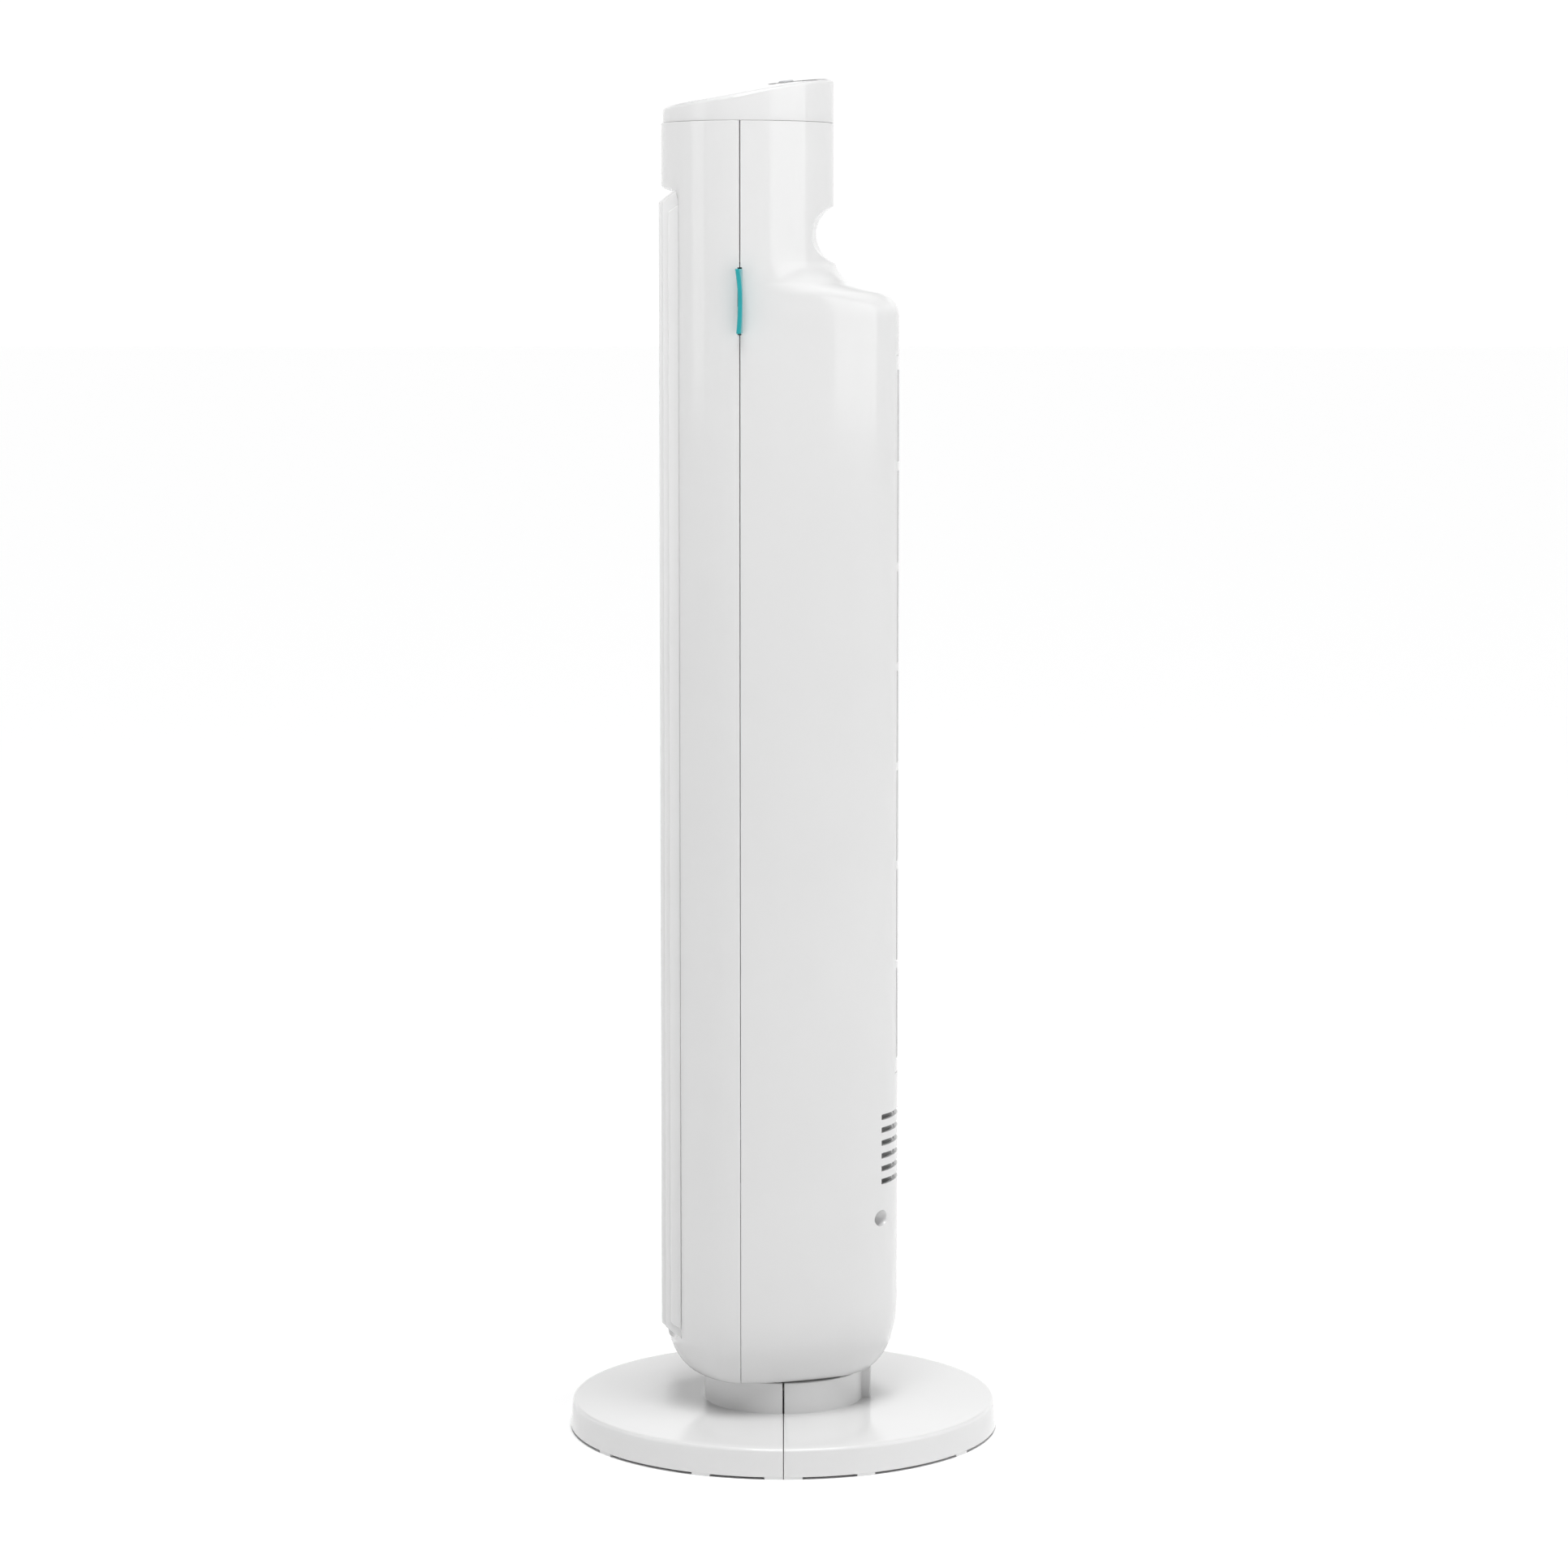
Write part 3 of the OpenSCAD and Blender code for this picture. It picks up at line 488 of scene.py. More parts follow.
def rear_point(weight, inset):
    """Outline of the rear shell between the neck (0) and the body (1)."""
    def point(angle):
        body = outline_point(REAR_DEPTH, REAR_SIDE_R, angle, inset)
        neck = outline_point(NECK_DEPTH, NECK_SIDE_R, angle, inset)
        return tuple(n + weight * (b - n) for b, n in zip(body, neck))
    return point


def rear_levels(inset, top):
    """(z, weight, inset) of every ring of the rear shell."""
    made = [(z, 1.0, d) for z, d in foot_levels(inset)]
    made += [(z, 1.0, inset) for z in between(FLOOR_Z + FOOT_H, SHOULDER[1] - 2, 24)]
    for y, z in shoulder_profile():
        made.append((z - inset * 0.8, max(0.0, (y - NECK_Y) / (BODY_Y - NECK_Y)), inset))
    last = made[-1][0]
    if top > CAP_Z:
        return made + [(z, 0.0, inset) for z in between(last, top, 8)]
    made += [(z, 0.0, inset) for z in between(last, CAP_Z - RIM_R - 0.3, 10)]
    return made + [(z, 0.0, d) for z, d in rim_levels(inset)]


def rear_solid(name, inset=0.0, top=0.0, gap=None):
    """Rear half of the tower, filled; the inset makes it smaller all round."""
    rings = []
    for z, weight, d in rear_levels(inset, top):
        opening = half_gap(z) if gap is None else gap
        rings.append(half_ring(rear_point(weight, d), REAR_ANGLES, z, 1, opening, drawn_in(z, d, inset)))
    return loft(name, rings)


def front_solid(name, inset=0.0, top=0.0, gap=None):
    """Front half of the tower, filled; the inset makes it smaller all round."""
    levels = foot_levels(inset) + [(z, inset) for z in between(FLOOR_Z + FOOT_H, CAP_Z - RIM_R - 0.3, 40)]
    levels += rim_levels(inset) if top <= CAP_Z else [(top, inset)]
    rings = []
    for z, d in levels:
        opening = half_gap(z) if gap is None else gap
        point = lambda angle, d=d: outline_point(FRONT_DEPTH, FRONT_SIDE_R, angle, d)
        rings.append(half_ring(point, FRONT_ANGLES, z, -1, opening, drawn_in(z, d, inset)))
    return loft(name, rings)


# ---------- carry grip ----------

GRIP_Y = 37.9
GRIP_Z = CAP_Z - 64.3
GRIP_R = 18.5
GRIP_FLARE = 3.0
GRIP_FLARE_X = 34.0
GRIP_END_X = 48.0


def grip_cutter(name, r):
    """Bar across the back of the neck; it lies deeper at both sides, so the grip's floor is bowed."""
    rings = []
    for i in range(-12, 13):
        x = GRIP_END_X * i / 12
        y = GRIP_Y - GRIP_FLARE * min(1.0, (x / GRIP_FLARE_X) ** 2)
        rings.append([(x, y + r * math.cos(a), GRIP_Z + r * math.sin(a)) for a in turns(96)])
    return loft(name, rings)


# ---------- shells ----------

VENT_PITCH = 7.7
VENT_H = 3.3
VENT_Z = 153.3
VENT_COUNT = 6
VENT_HALF_W = 30.0
VENT_CORNER_R = 0.4
VENT_RIB_X = 12.0
VENT_RIB_Y = 50.0
SCREW_X = 30.0
SCREW_Z = 131.5
SCREW_SEAT_Y = 50.5
COUNTERBORE_R = 4.8
BOSS_R = 6.5
PILOT_R = 2.1
INLET_GAP = 0.12
VOID_GAP = -1.5  # the inner space reaches past the seam
BEYOND_Y = 90.0  # behind everything


def vent_cutter(z):
    """A wide slot with crisp corners, cut from behind."""
    made = box("vent", (-VENT_HALF_W, 38.0, z - VENT_H / 2), (VENT_HALF_W, BEYOND_Y, z + VENT_H / 2))
    round_along(made, 1, VENT_CORNER_R)
    return made


def screw_boss(shell, x):
    """Joins a screw boss inside the rear shell, with its counterbore and pilot hole."""
    boss = rod_y("boss", x, SCREW_Z, BOSS_R, SEAM_Y + 0.5, 66.0)
    boolean(boss, rear_solid("boss_clip", 0.3), "INTERSECT")
    boolean(shell, boss, "UNION")
    boolean(shell, rod_y("bore", x, SCREW_Z, COUNTERBORE_R, SCREW_SEAT_Y, 80.0))
    boolean(shell, rod_y("pilot", x, SCREW_Z, PILOT_R, SEAM_Y - 1, 60.0))


def vent_rib(shell, x):
    """Joins an upright rib inside the rear shell that stops the view through the vents."""
    top = VENT_Z + VENT_COUNT * VENT_PITCH
    rib = box("vent_rib", (x - 1, VENT_RIB_Y, VENT_Z - 8), (x + 1, BEYOND_Y, top))
    boolean(rib, rear_solid("rib_clip", WALL - 0.5), "INTERSECT")
    boolean(shell, rib, "UNION")


def shared_cuts(shell):
    """Cuts that run through both shells: the pivot's hole in the floor and the tag's slot in the seam."""
    ring = [(POST_HOLE_R * math.cos(a), POST_HOLE_R * math.sin(a)) for a in turns(64)]
    boolean(shell, loft("post_hole", [[(x, y, z) for x, y in ring] for z in (30, 45)]))
    low = (HALF_W - 8, SEAM_Y - 1.3, tag_low[2] - 0.8)
    high = (HALF_W + 4, SEAM_Y + 1.3, tag_high[2] + 0.8)
    boolean(shell, box("tag_slot", low, high))


def rear_shell():
    """Shoulder, neck, carry grip, screw bosses, inlet window and vents."""
    made = rear_solid("rear_shell_skin")
    boolean(made, grip_cutter("grip", GRIP_R))
    void = rear_solid("rear_void", WALL, CAP_Z + 5, gap=VOID_GAP)
    boolean(void, grip_cutter("grip_wall", GRIP_R + WALL))
    boolean(made, void)
    for x in (-SCREW_X, SCREW_X):
        screw_boss(made, x)
    low = (inlet_low[0] - INLET_GAP, 35, inlet_low[2] - INLET_GAP)
    high = (inlet_high[0] + INLET_GAP, BEYOND_Y, inlet_high[2] + INLET_GAP)
    boolean(made, box("inlet", low, high))
    for i in range(VENT_COUNT):
        boolean(made, vent_cutter(VENT_Z + i * VENT_PITCH))
    for x in (-VENT_RIB_X, VENT_RIB_X):
        vent_rib(made, x)
    shared_cuts(made)
    show(made, "rear_shell", angle=38)


WINDOW_Y = -60.5
WINDOW_TOP = CAP_Z - 33.8
WINDOW_FOOT = 57.5
WINDOW_SPREAD_X = 38.0
WINDOW_MOUTH_Y = -95.0
TOP_H = 14.5
TOP_SIDE_W = 11.5
FILLET_W = 4.0
FILLET_H = 9.4
LIP_W = 7.4
LIP_H = 4.9
FOOT_CURVE_W = 6.0
FOOT_CURVE_H = 14.0


def window_section(spread_k):
    """(Y, Z) outline of the front recess. 0 is the middle, with a rounded lip above it; 1 is its side."""
    top = []
    for i in range(13):
        a = math.pi / 2 * i / 12
        side = (WINDOW_Y - TOP_SIDE_W * (1 - math.cos(a)), WINDOW_TOP - TOP_H * (1 - math.sin(a)))
        if i < 6:
            b = a * 2
            middle = (WINDOW_Y - FILLET_W * (1 - math.cos(b)), WINDOW_TOP - TOP_H + FILLET_H * math.sin(b))
        else:
            b = math.pi / 2 * (i - 5) / 7
            middle = (WINDOW_Y - FILLET_W - LIP_W * math.sin(b), WINDOW_TOP - 0.2 - LIP_H * math.cos(b))
        top.append(tuple(m + spread_k * (s - m) for m, s in zip(middle, side)))
    foot = []
    for a in [math.pi / 2 * i / 10 for i in range(11)]:
        y = WINDOW_Y + 0.3 - FOOT_CURVE_W * (1 - math.cos(a))
        foot.append((y, WINDOW_FOOT + FOOT_CURVE_H * (1 - math.sin(a))))
    return [(WINDOW_MOUTH_Y, WINDOW_TOP)] + top[::-1] + foot + [(WINDOW_MOUTH_Y, WINDOW_FOOT - 0.5)]


def front_shell():
    """Front half with the recess for the grille and the air outlet behind it."""
    made = front_solid("front_shell_skin")
    rings = []
    for i in range(-16, 17):
        x = 60.0 * i / 16
        rings.append([(x, y, z) for y, z in window_section(min(1.0, (x / WINDOW_SPREAD_X) ** 2))])
    boolean(made, loft("window", rings))
    void = front_solid("front_void", WALL, CAP_Z + 5, gap=VOID_GAP)
    boolean(void, box("window_wall", (-80, -100, WINDOW_FOOT - 3), (80, WINDOW_Y + WALL, WINDOW_TOP + 3)))
    boolean(made, void)
    boolean(made, box("outlet", (-29, -80, 74), (29, -50, WINDOW_TOP - 18)))
    shared_cuts(made)
    show(made, "front_shell", angle=38)


# ---------- top cap ----------

CROWN_R = 370.0
CROWN_Y = 40.0
CROWN_Z = CAP_Z + 25.7 - math.sqrt(CROWN_R ** 2 - 100)
CAP_EDGE = 2.0
CAP_MIDDLE = (0.0, -20.0)
CAP_T = 3.2
CAP_GAP = 0.12


def crown_height(x, y, r=CROWN_R):
    """Height of the crowned top over a point."""
    return CROWN_Z + math.sqrt(r * r - x * x - (y - CROWN_Y) ** 2)


def cap_ring(inset):
    """Plan outline of the cap: a little behind the front shell and level with the neck."""
    ring = []
    for a in [math.pi * i / 60 for i in range(60)]:
        x, y = outline_point(NECK_DEPTH, NECK_SIDE_R, a, inset)
        ring.append((x, SEAM_Y + y))
    for a in [math.pi * i / 72 for i in range(72)]:
        x, y = outline_point(FRONT_DEPTH, FRONT_SIDE_R, math.pi - a, inset + math.sin(a))
        ring.append((x, SEAM_Y - y))
    return ring


def closing_rings(last, middle, r, steps):
    """Rings that shrink from the last one towards a middle point, on a crown of radius r."""
    rings = []
    for k in [1 - i / steps for i in range(1, steps)]:
        ring = [(middle[0] + k * (x - middle[0]), middle[1] + k * (y - middle[1])) for x, y in last]
        rings.append([(x, y, crown_height(x, y, r)) for x, y in ring])
    return rings


def cap_solid(name, inset, r, z0, edge, lip=0.0):
    """Closed solid under the crown: side wall, rounded edge and crowned top."""
    rings = []
    if lip:
        for a in [math.radians(90 - 22.5 * i) for i in range(5)]:
            ring = cap_ring(inset + lip * (1 - math.cos(a)))
            rings.append([(x, y, z0 + lip * (1 - math.sin(a))) for x, y in ring])
    else:
        rings.append([(x, y, z0) for x, y in cap_ring(inset)])
    for k in (0.35, 0.7):
        rings.append([(x, y, z0 + k * (crown_height(x, y, r) - edge - z0)) for x, y in cap_ring(inset)])
    for i in range(9):
        a = math.pi / 2 * i / 8
        rings.append([(x, y, crown_height(x, y, r) - edge * (1 - math.sin(a)))
                      for x, y in cap_ring(inset + edge * (1 - math.cos(a)))])
    rings += closing_rings(cap_ring(inset + edge), CAP_MIDDLE, r, 16)
    return loft(name, rings)


PANEL_LIFT = 0.25
PANEL_H = 1.4
PANEL_GAP = 0.12
PANEL_HALF_W = 30.0
PANEL_FRONT_Y = -9.0
PANEL_CORNER_R = 5.0
PANEL_EDGE = 0.25
PANEL_MIDDLE = (0.0, 8.0)


def panel_ring(grow):
    """Plan outline of the control panel, a rounded block that follows the back of the neck."""
    ring = []
    for a in [math.radians(24 + 132 * i / 40) for i in range(41)]:
        x, y = outline_point(NECK_DEPTH, NECK_SIDE_R, a, 3.0 - grow)
        if abs(x) <= PANEL_HALF_W + grow and SEAM_Y + y > PANEL_FRONT_Y:
            ring.append((x, SEAM_Y + y))
    r = PANEL_CORNER_R
    low = PANEL_FRONT_Y - grow
    side = PANEL_HALF_W + grow
    left = [(-side + r - r * math.cos(a), low + r - r * math.sin(a))
            for a in [math.radians(15 * i) for i in range(7)]]
    right = [(-x, y) for x, y in reversed(left)]
    wall_l = [(-side, y) for y in between(ring[-1][1] - 2, low + r, 4)[:-1]]
    wall_r = [(side, y) for y in reversed([p[1] for p in wall_l])]
    return ring + wall_l + left + right + wall_r


def panel_solid(name, grow, low_r, high_r):
    """The control panel's block between two crowns, with a small rounded edge."""
    edge = PANEL_EDGE
    rings = []
    for d, r in ((0.0, low_r), (0.0, high_r - edge), (edge * 0.3, high_r - edge * 0.3), (edge, high_r)):
        rings.append([(x, y, crown_height(x, y, r)) for x, y in panel_ring(grow - d)])
    rings += closing_rings(panel_ring(grow - edge), PANEL_MIDDLE, high_r, 8)
    return loft(name, rings)


def panel_direction():
    """Direction in which the buttons leave the panel."""
    slide = next(j for j in RECORD["behaviour"]["joints"] if j["name"] == "press_mode")
    return -Vector(slide["axis"]).normalized()


BUTTON_Y = 1.5
BUTTONS = ["button_power", "button_speed", "button_mode", "button_timer", "button_swing"]
BUTTON_PITCH = 11.0
BUTTON_R = 4.3
BUTTON_HOLE_R = BUTTON_R + 0.3


def button_place(i):
    """Middle of a button on the panel."""
    x = (i - 2) * BUTTON_PITCH
    return (x, BUTTON_Y, crown_height(0.0, BUTTON_Y) - x * x / (2 * CROWN_R))


def panel_openings(made):
    """Cuts the holes for the buttons and the display's lens."""
    for i in range(len(BUTTONS)):
        hole = [(BUTTON_HOLE_R, -9), (BUTTON_HOLE_R, 9)]
        boolean(made, lathe("hole", hole, button_place(i), panel_direction()))
    low, high = box_mm("display_lens")
    gap = 0.1
    low, high = (low[0] - gap, low[1] - gap, CAP_Z), (high[0] + gap, high[1] + gap, CAP_Z + 60)
    boolean(made, box("lens", low, high))


def top_cap():
    """Slanted, crowned cap with a recess for the control panel."""
    made = cap_solid("top_cap_skin", 0.0, CROWN_R, CAP_Z + CAP_GAP, CAP_EDGE, lip=0.3)
    boolean(made, cap_solid("cap_void", WALL, CROWN_R - CAP_T, CAP_Z - 2, 0.6))
    boolean(made, panel_solid("recess", PANEL_GAP, CROWN_R - PANEL_H, CROWN_R + 6))
    panel_openings(made)
    show(made, "top_cap")


def control_panel():
    """Thin gloss panel that stands a little proud of the cap."""
    made = panel_solid("control_panel_gloss", 0.0, CROWN_R - PANEL_H + 0.05, CROWN_R + PANEL_LIFT)
    panel_openings(made)
    show(made, "control_panel")


def buttons():
    """Dished button caps, each with a flange under the panel."""
    flange = [(BUTTON_R + 1, -5.0), (BUTTON_R + 1, -4.0)]
    dish = [(BUTTON_R, -4.0), (BUTTON_R, 0.45), (BUTTON_R - 0.12, 0.72), (BUTTON_R - 0.42, 0.86),
            (BUTTON_R - 0.9, 0.88), (BUTTON_R - 1.6, 0.78), (1.6, 0.66), (0.4, 0.62)]
    for i, node in enumerate(BUTTONS):
        made = lathe(node + "_cap", flange + dish, button_place(i), panel_direction())
        show(made, node)


# ---------- grilles and tag ----------


SLOPE_TOP = 0.76
SLOPE_FOOT = 0.79
GRILLE_OPEN_W = 27.0
GRILLE_Z0 = 82.0
GRILLE_Z1 = CAP_Z - 58.3
SLAT_COUNT = 64
UPRIGHT_PITCH = 9
# Steps of the grille's frame, from the back: half width, depth behind the front, top, foot and edge radius
FRAME_STEPS = (
    (36.9, 5.3, CAP_Z - 51.8, 70.5, 0.8),
    (35.2, 2.3, CAP_Z - 45.6, 67.3, 0.6),
    (33.8, 0.0, CAP_Z - 45.9, 69.4, 0.6),
)


def grille_block(half_w, y_front, z_top, z_foot, edge):
    """One step of the outlet grille's frame: its ends slope back into the recess."""
    y_back = WINDOW_Y + 0.2
    depth = y_back - y_front
    foot = [(y_back, z_foot - SLOPE_FOOT * depth), (y_front, z_foot)]
    top = [(y_front, z_top), (y_back, z_top + SLOPE_TOP * depth)]
    made = prism_x("grille_bar", foot + top, -half_w, half_w)
    bevel(made, edge, 3)
    return made


def front_grille():
    """Stepped frame that stands proud of the recess, with slats and uprights in its opening."""
    front = grille_low[1]
    blocks = [grille_block(half_w, front + behind, *rest) for half_w, behind, *rest in FRAME_STEPS]
    made = blocks[0]
    for block in blocks[1:]:
        boolean(made, block, "UNION")
    opening = box("opening", (-GRILLE_OPEN_W, -90, GRILLE_Z0), (GRILLE_OPEN_W, -40, GRILLE_Z1))
    round_along(opening, 1, 4.0)
    boolean(made, opening)
    heights = [GRILLE_Z0 + (GRILLE_Z1 - GRILLE_Z0) * (i + 0.5) / SLAT_COUNT for i in range(SLAT_COUNT)]
    bars = [slat(z, front) for z in heights]
    bars += [upright(UPRIGHT_PITCH * i, front) for i in range(-2, 3)]
    join(made, bars)
    show(made, "front_grille")


def slat(z, front):
    """One slat of the outlet: a thin rounded blade that leans upwards at the front."""
    y0, y1 = front + 1.0, front + 9.0
    half = 0.75
    nose = [(y0, z + 0.9 - half * 0.6), (y0 - 0.45, z + 0.9), (y0, z + 0.9 + half * 0.6)]
    upper = [(y0 + 1.2, z + 0.8 + half), (y1 - 1.0, z - 0.3 + half)]
    tail = [(y1, z - 0.5 + half * 0.5), (y1, z - 0.5 - half * 0.5)]
    lower = [(y1 - 1.0, z - 0.3 - half), (y0 + 1.2, z + 0.8 - half)]
    rings = []
    for i in range(-12, 13):
        x = (GRILLE_OPEN_W + 0.4) * i / 12
        bow = 0.9 * (x / GRILLE_OPEN_W) ** 2
        rings.append([(x, y + bow, height) for y, height in nose + upper + tail + lower])
    return loft("slat", rings)


def upright(x, front):
    """A rib behind the slats."""
    made = box("upright", (x - 0.8, front + 2.6, GRILLE_Z0 - 0.5), (x + 0.8, front + 10.2, GRILLE_Z1 + 0.5))
    bevel(made, 0.3, 2)
    return made


INLET_ROWS = 7
INLET_BORDER = 12.0
INLET_SLOT_PITCH = 5.0
INLET_SLOT_W = 2.5


def rear_inlet_grille():
    """Curved insert with upright slots, level with the rear shell."""
    xs = [inlet_low[0] + (inlet_high[0] - inlet_low[0]) * i / 30 for i in range(31)]
    r_out = face_radius(REAR_DEPTH, REAR_SIDE_R)
    cy = SEAM_Y + REAR_DEPTH - r_out
    outer = [(x, cy + math.sqrt(r_out ** 2 - x * x)) for x in xs]
    r_in = r_out - WALL
    inner = [(x, cy + math.sqrt(r_in ** 2 - x * x)) for x in reversed(xs)]
    ring = outer + inner
    zs = [inlet_low[2]] + between(inlet_low[2], inlet_high[2], 12)
    made = loft("rear_inlet_skin", [[(x, y, z) for x, y in ring] for z in zs])
    bevel(made, 0.3, 2, angle=60)
    pitch = (inlet_high[2] - inlet_low[2] - INLET_BORDER) / INLET_ROWS
    slots = []
    for k in range(INLET_ROWS):
        z0 = inlet_low[2] + 8.0 + k * pitch
        for i in range(-2, 3):
            x = INLET_SLOT_PITCH * i
            half = INLET_SLOT_W / 2
            slot = box("slot", (x - half, 30, z0), (x + half, BEYOND_Y, z0 + pitch - 4.0))
            round_along(slot, 1, 1.2)
            slots.append(slot)
    join(slots[0], slots[1:])
    boolean(made, slots[0])
    show(made, "rear_inlet_grille")


TAG_OUT = 9.5
TAG_HALF_T = 1.3
TAG_TIP_R = 0.85
TAG_Y = SEAM_Y + 0.2
TAG_LEAN_LOW = 1.0
TAG_LEAN_HIGH = 1.7


def side_tag():
    """Soft rubber tag in the seam: it leans forward at its free edge, more at its top, and bows a little."""
    xs = [HALF_W + out for out in (-5, 0, 3, 6, 8.8)]
    rings = []
    for i in range(25):
        k = i / 24
        z = tag_low[2] + (tag_high[2] - tag_low[2]) * k
        lean = 0.1 - (TAG_LEAN_LOW if k < 0.5 else TAG_LEAN_HIGH) * (2 * k - 1) ** 2
        bow = [lean * max(0.0, (x - HALF_W) / 9.0) ** 1.2 for x in xs]
        front = [(x, TAG_Y - TAG_HALF_T + b, z) for x, b in zip(xs, bow)]
        rear = [(x, TAG_Y + TAG_HALF_T + b, z) for x, b in zip(xs, bow)]
        tip = [(HALF_W + TAG_OUT - abs(t) * 0.15, TAG_Y + lean + t * TAG_TIP_R, z) for t in (-1, 0, 1)]
        rings.append(front + tip + rear[::-1])
    made = loft("side_tag_rubber", rings)
    bevel(made, 0.3, 2, angle=50)
    show(made, "side_tag")


# ---------- base ----------

COLLAR_R = 47.4
BASE_H = 17.5
SKIRT_T = 2.6
SKIRT_GAP = 1.4
SKIRT_TAPER = 1.3
BASE_EDGE_R = 2.2
COLLAR_LIP = 6.7
COLLAR_T = 3.0
LEDGE_R = 15.0
LEDGE_Z0 = 27.0
LEDGE_Z1 = 30.0
TOP_T = 2.5


def base_profile(inset):
    """(r, z) outline of the base: skirt, top, collar and the ledge inside, drawn in by the inset."""
    d = inset
    edge_at = (BASE_R - SKIRT_TAPER - BASE_EDGE_R, BASE_H - BASE_EDGE_R)
    inner = COLLAR_R - COLLAR_LIP + d
    skirt_inner = BASE_R - SKIRT_T + d
    collar_inner = COLLAR_R - COLLAR_T + d
    points = [(skirt_inner, SKIRT_GAP + d), (BASE_R - d - 0.25, SKIRT_GAP + d)]
    points += [(BASE_R - d, SKIRT_GAP + 0.3 + d)]
    points += arc(edge_at, BASE_EDGE_R - d, 0.0, math.pi / 2, 9)
    points += [(r, BASE_H - d) for r in (118, 112, 104, 94, 84, 74, 64, 56, 51)]
    points += [(COLLAR_R + 0.5 - d, BASE_H - d + 0.02), (COLLAR_R + 0.14 - d, BASE_H + 0.16 - d)]
    points += [(COLLAR_R - d, BASE_H + 0.6), (COLLAR_R - d, COLLAR_TOP - 0.4)]
    points += [(COLLAR_R - 0.4 - d, COLLAR_TOP - d), (inner, COLLAR_TOP - d), (inner, LEDGE_Z1 - d)]
    points += [(LEDGE_R + d, LEDGE_Z1 - d), (LEDGE_R + d, LEDGE_Z0 + d), (collar_inner, LEDGE_Z0 + d)]
    points += [(collar_inner, BASE_H - TOP_T + d), (skirt_inner - SKIRT_TAPER, BASE_H - TOP_T + d)]
    return points


SEAM_TOP = 0.22
SEAM_COLLAR = 0.55
TAB_ANGLES = [(0.12, 4.94)]
TAB_ANGLES += [(middle - 2.5, middle + 2.5) for middle in (22, 55, 90, 125, 158)]
TAB_ANGLES += [(175.06, 179.88)]
FOOT_ANGLES = (30, 90, 150)
FOOT_RING_R = 108.0
FOOT_BOSS_R = 10.0
CORD_Z = 22.5
CORD_R = 3.6


def base_half(name, side):
    """Half of the base, turned about Z; side is 1 for the rear half and -1 for the front half."""
    def face_y(z, r):
        return SEAM_COLLAR if z > BASE_H + 0.1 and r < COLLAR_R + 1 else SEAM_TOP

    rings = []
    for inset, step in ((0.3, 0.0), (0.09, 0.09), (0.0, 0.3)):
        rings.append([(math.sqrt(r * r - (face_y(z, r) + step) ** 2), side * (face_y(z, r) + step), z)
                      for r, z in base_profile(inset)])
    for a in [math.pi * i / 120 for i in range(1, 120)]:
        rings.append([(r * math.cos(a), side * r * math.sin(a), z) for r, z in base_profile(0.0)])
    rings += [[(-x, y, z) for x, y, z in ring] for ring in reversed(rings[:3])]
    made = loft(name, rings)
    for first, last in TAB_ANGLES:
        boolean(made, standing_tab(first, last, side), "UNION")
    for a in [math.radians(degrees) * side for degrees in FOOT_ANGLES]:
        at = (FOOT_RING_R * math.cos(a), FOOT_RING_R * math.sin(a), 3.0)
        boss = lathe("foot_boss", [(FOOT_BOSS_R, 0), (FOOT_BOSS_R, BASE_H - 4)], at, (0, 0, 1))
        boolean(made, boss, "UNION")
    return made


def standing_tab(first, last, side):
    """A little tab under the skirt that reaches the floor, between two angles in degrees."""
    inner, outer, top = BASE_R - SKIRT_T + 0.2, BASE_R - 0.12, SKIRT_GAP + 0.5
    section = ((inner, 0), (outer, 0), (outer, top), (inner, top))
    rings = []
    for i in range(7):
        a = math.radians(first + (last - first) * i / 6) * side
        rings.append([(r * math.cos(a), r * math.sin(a), z) for r, z in section])
    return loft("tab", rings)


def base_halves():
    """Both halves of the base; the rear one holds the cord's outlet."""
    show(base_half("base_front_skin", -1), "base_front_half")
    rear = base_half("base_rear_skin", 1)
    outlet = box("outlet_tab", (-8, COLLAR_R - 2.5, BASE_H - 1), (8, COLLAR_R + 5, COLLAR_TOP))
    round_along(outlet, 2, 1.2, segments=5)
    boolean(rear, outlet, "UNION")
    boolean(rear, rod_y("cord_hole", 0, CORD_Z, CORD_R, COLLAR_R - 6, COLLAR_R + 12))
    show(rear, "base_rear_half")


# ---------- build ----------

front_shell()
rear_shell()
top_cap()
control_panel()
buttons()
front_grille()
rear_inlet_grille()
side_tag()
base_halves()

# ---------- floor, light and camera ----------


FLOOR_WHITE = 0.95
FLOOR_HALF_M = 40
HORIZON_GLOW = 1.06
DOME_GLOW = 0.18
DIM_SIDE = 0.1


def matt_white(name, level):
    """A plain matt white without gloss."""
    made, _, shader = new_material(name)
    shader.inputs["Base Color"].default_value = (level, level, level, 1)
    shader.inputs["Roughness"].default_value = 1.0
    shader.inputs["Specular IOR Level"].default_value = 0.0
    return made


def studio_floor():
    """A wide plain floor."""
    h = FLOOR_HALF_M / MM
    floor = obj_from("floor", [(-h, -h, 0), (h, -h, 0), (h, h, 0), (-h, h, 0)], [(0, 1, 2, 3)])
    floor.data.materials.append(matt_white("floor_white", FLOOR_WHITE))


def area_light(name, at, aim, size, power):
    """A rectangular softbox that faces a point."""
    lamp = bpy.data.lights.new(name, "AREA")
    lamp.shape = "RECTANGLE"
    lamp.size, lamp.size_y = size
    lamp.energy = power
    made = bpy.data.objects.new(name, lamp)
    made.location = at
    made.rotation_euler = (Vector(aim) - Vector(at)).to_track_quat("-Z", "Y").to_euler()
    bpy.context.scene.collection.objects.link(made)


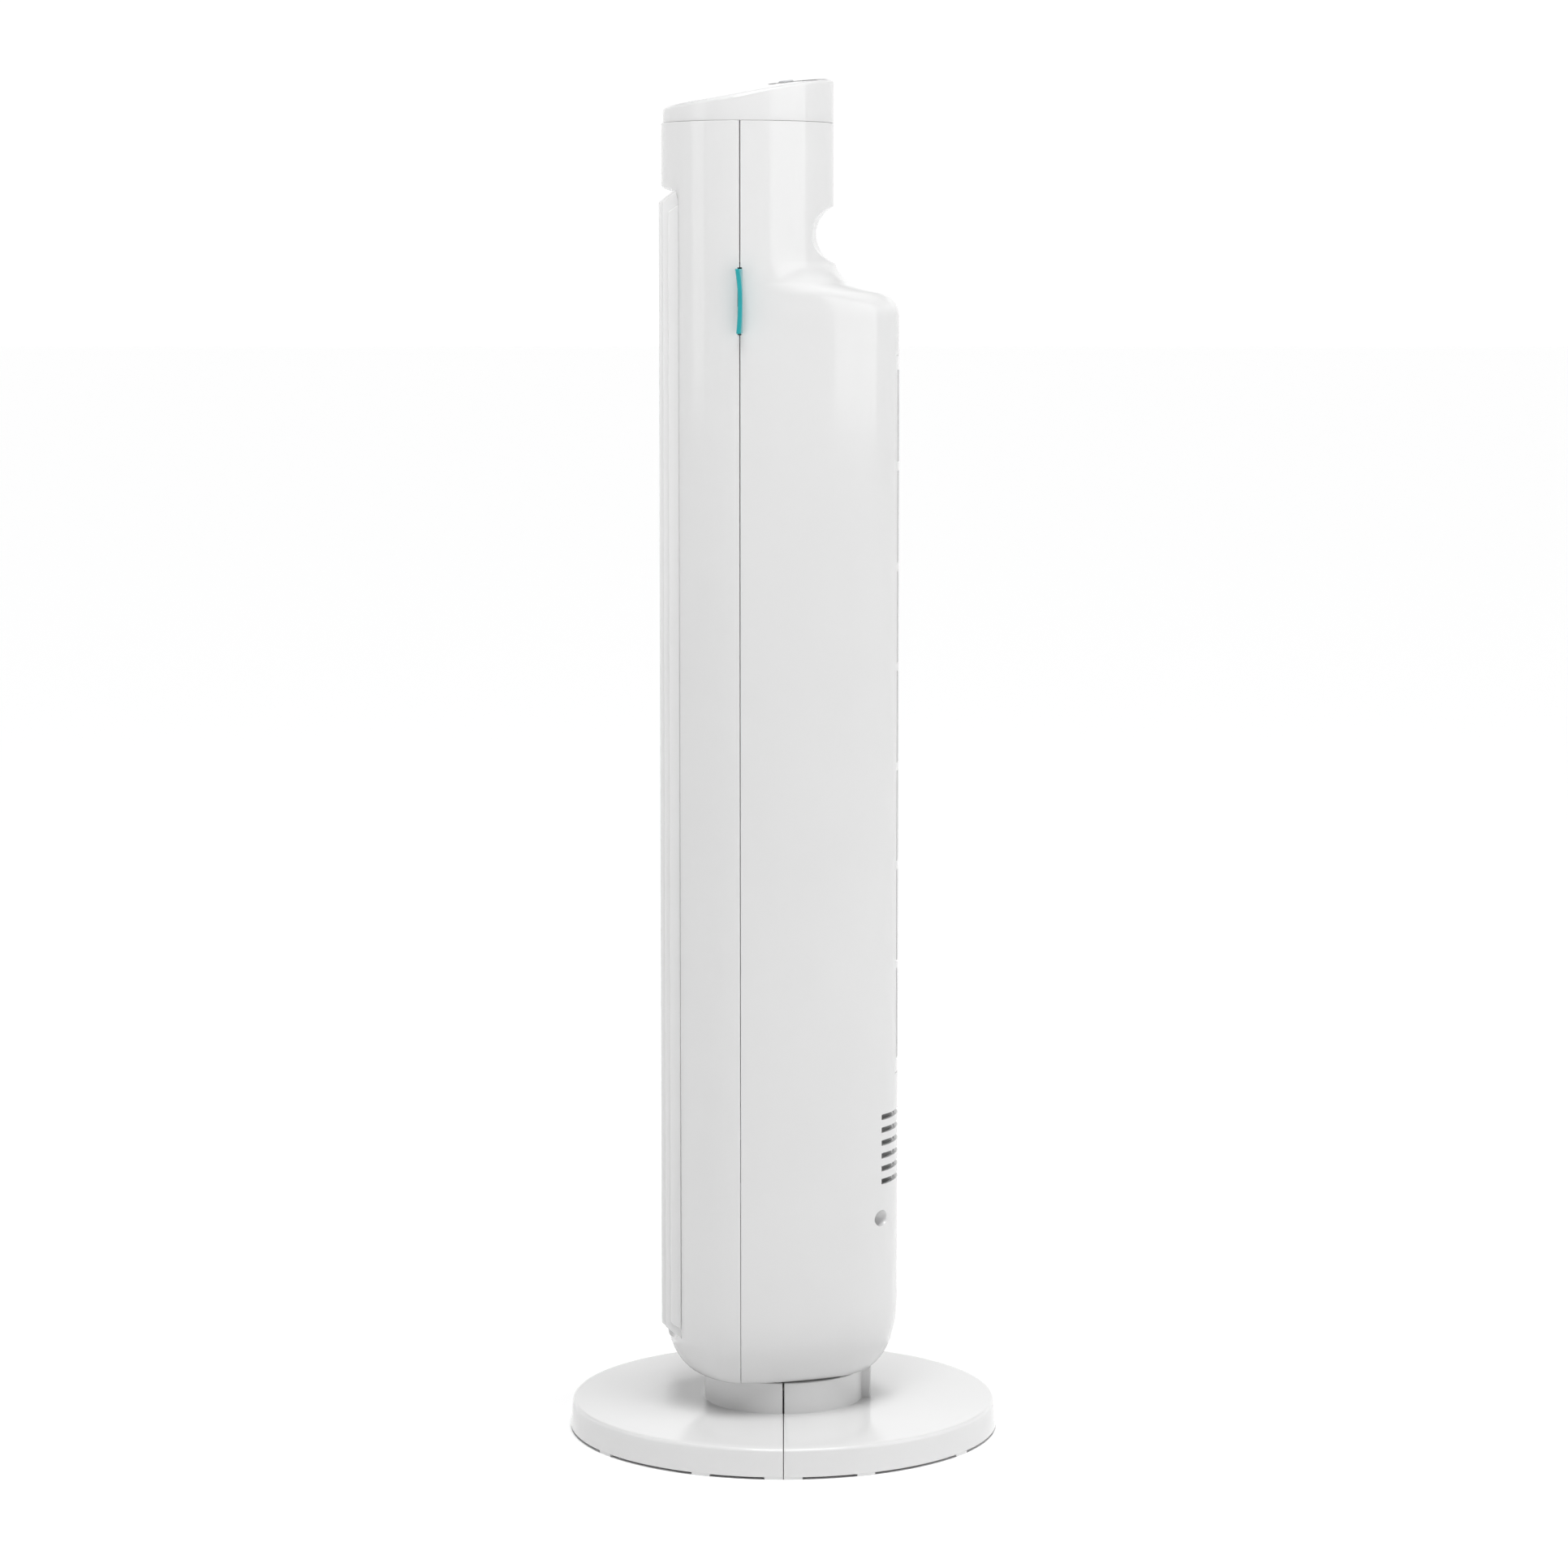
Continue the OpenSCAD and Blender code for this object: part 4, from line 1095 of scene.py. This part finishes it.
def ramped(tree, value, start, end, kind="SMOOTHSTEP"):
    """Maps a value from the first (value, result) pair to the second."""
    node = tree.nodes.new("ShaderNodeMapRange")
    node.interpolation_type = kind
    node.inputs["From Min"].default_value, node.inputs["To Min"].default_value = start
    node.inputs["From Max"].default_value, node.inputs["To Max"].default_value = end
    tree.links.new(value, node.inputs["Value"])
    return node.outputs["Result"]


def product(tree, first, second):
    """Product of two values."""
    node = tree.nodes.new("ShaderNodeMath")
    node.operation = "MULTIPLY"
    tree.links.new(first, node.inputs[0])
    tree.links.new(second, node.inputs[1])
    return node.outputs["Value"]


def studio_world():
    """White studio: bright along the horizon, dimmer overhead and high on the +X side."""
    made = bpy.data.worlds.new("studio")
    made.use_nodes = True
    tree = made.node_tree
    place = tree.nodes.new("ShaderNodeTexCoord")
    split = tree.nodes.new("ShaderNodeSeparateXYZ")
    tree.links.new(place.outputs["Generated"], split.inputs["Vector"])
    glow = ramped(tree, split.outputs["Z"], (0.26, HORIZON_GLOW), (0.46, DOME_GLOW))
    towards_x = ramped(tree, split.outputs["X"], (0.35, 0.0), (0.95, 1.0))
    above = ramped(tree, split.outputs["Z"], (0.06, 0.0), (0.2, 1.0))
    dim = ramped(tree, product(tree, towards_x, above), (0.0, 1.0), (1.0, DIM_SIDE), "LINEAR")
    background = tree.nodes["Background"]
    background.inputs["Color"].default_value = (1, 1, 1, 1)
    tree.links.new(product(tree, glow, dim), background.inputs["Strength"])
    bpy.context.scene.world = made


def overhead_light():
    """A very wide soft light from above, and a little from +X and +Y."""
    lamp = bpy.data.lights.new("overhead", "SUN")
    lamp.energy = 2.5
    lamp.angle = math.radians(34)
    made = bpy.data.objects.new("overhead", lamp)
    made.location = (0, 0, 3)
    made.rotation_euler = (math.radians(-4), math.radians(6), 0)
    bpy.context.scene.collection.objects.link(made)


studio_floor()
studio_world()
overhead_light()
area_light("softbox_right", (0.86, 2.24, 1.15), (0, 0, 0.75), (2.2, 1.3), 12)
area_light("softbox_left", (0.35, -2.6, 1.3), (0, 0, 0.6), (1.0, 1.6), 4.5)
area_light("softbox_high", (0.8, -0.15, 1.5), (0, 0, 0.8), (0.4, 0.4), 5)

bpy.context.scene.view_settings.view_transform = "Standard"
bpy.context.scene.view_settings.look = "None"

EYE = Vector((2.617, 0.00034, 0.6869))
PITCH = 5.741  # degrees below level
LENS_MM = 102.0857
lens = bpy.data.cameras.new("camera")
lens.sensor_width = 36.0
lens.lens = LENS_MM
lens.shift_y = -0.04
camera = bpy.data.objects.new("camera", lens)
camera.location = EYE
camera.rotation_euler = (math.radians(90 - PITCH), 0, math.pi / 2)
bpy.context.scene.collection.objects.link(camera)
bpy.context.scene.camera = camera
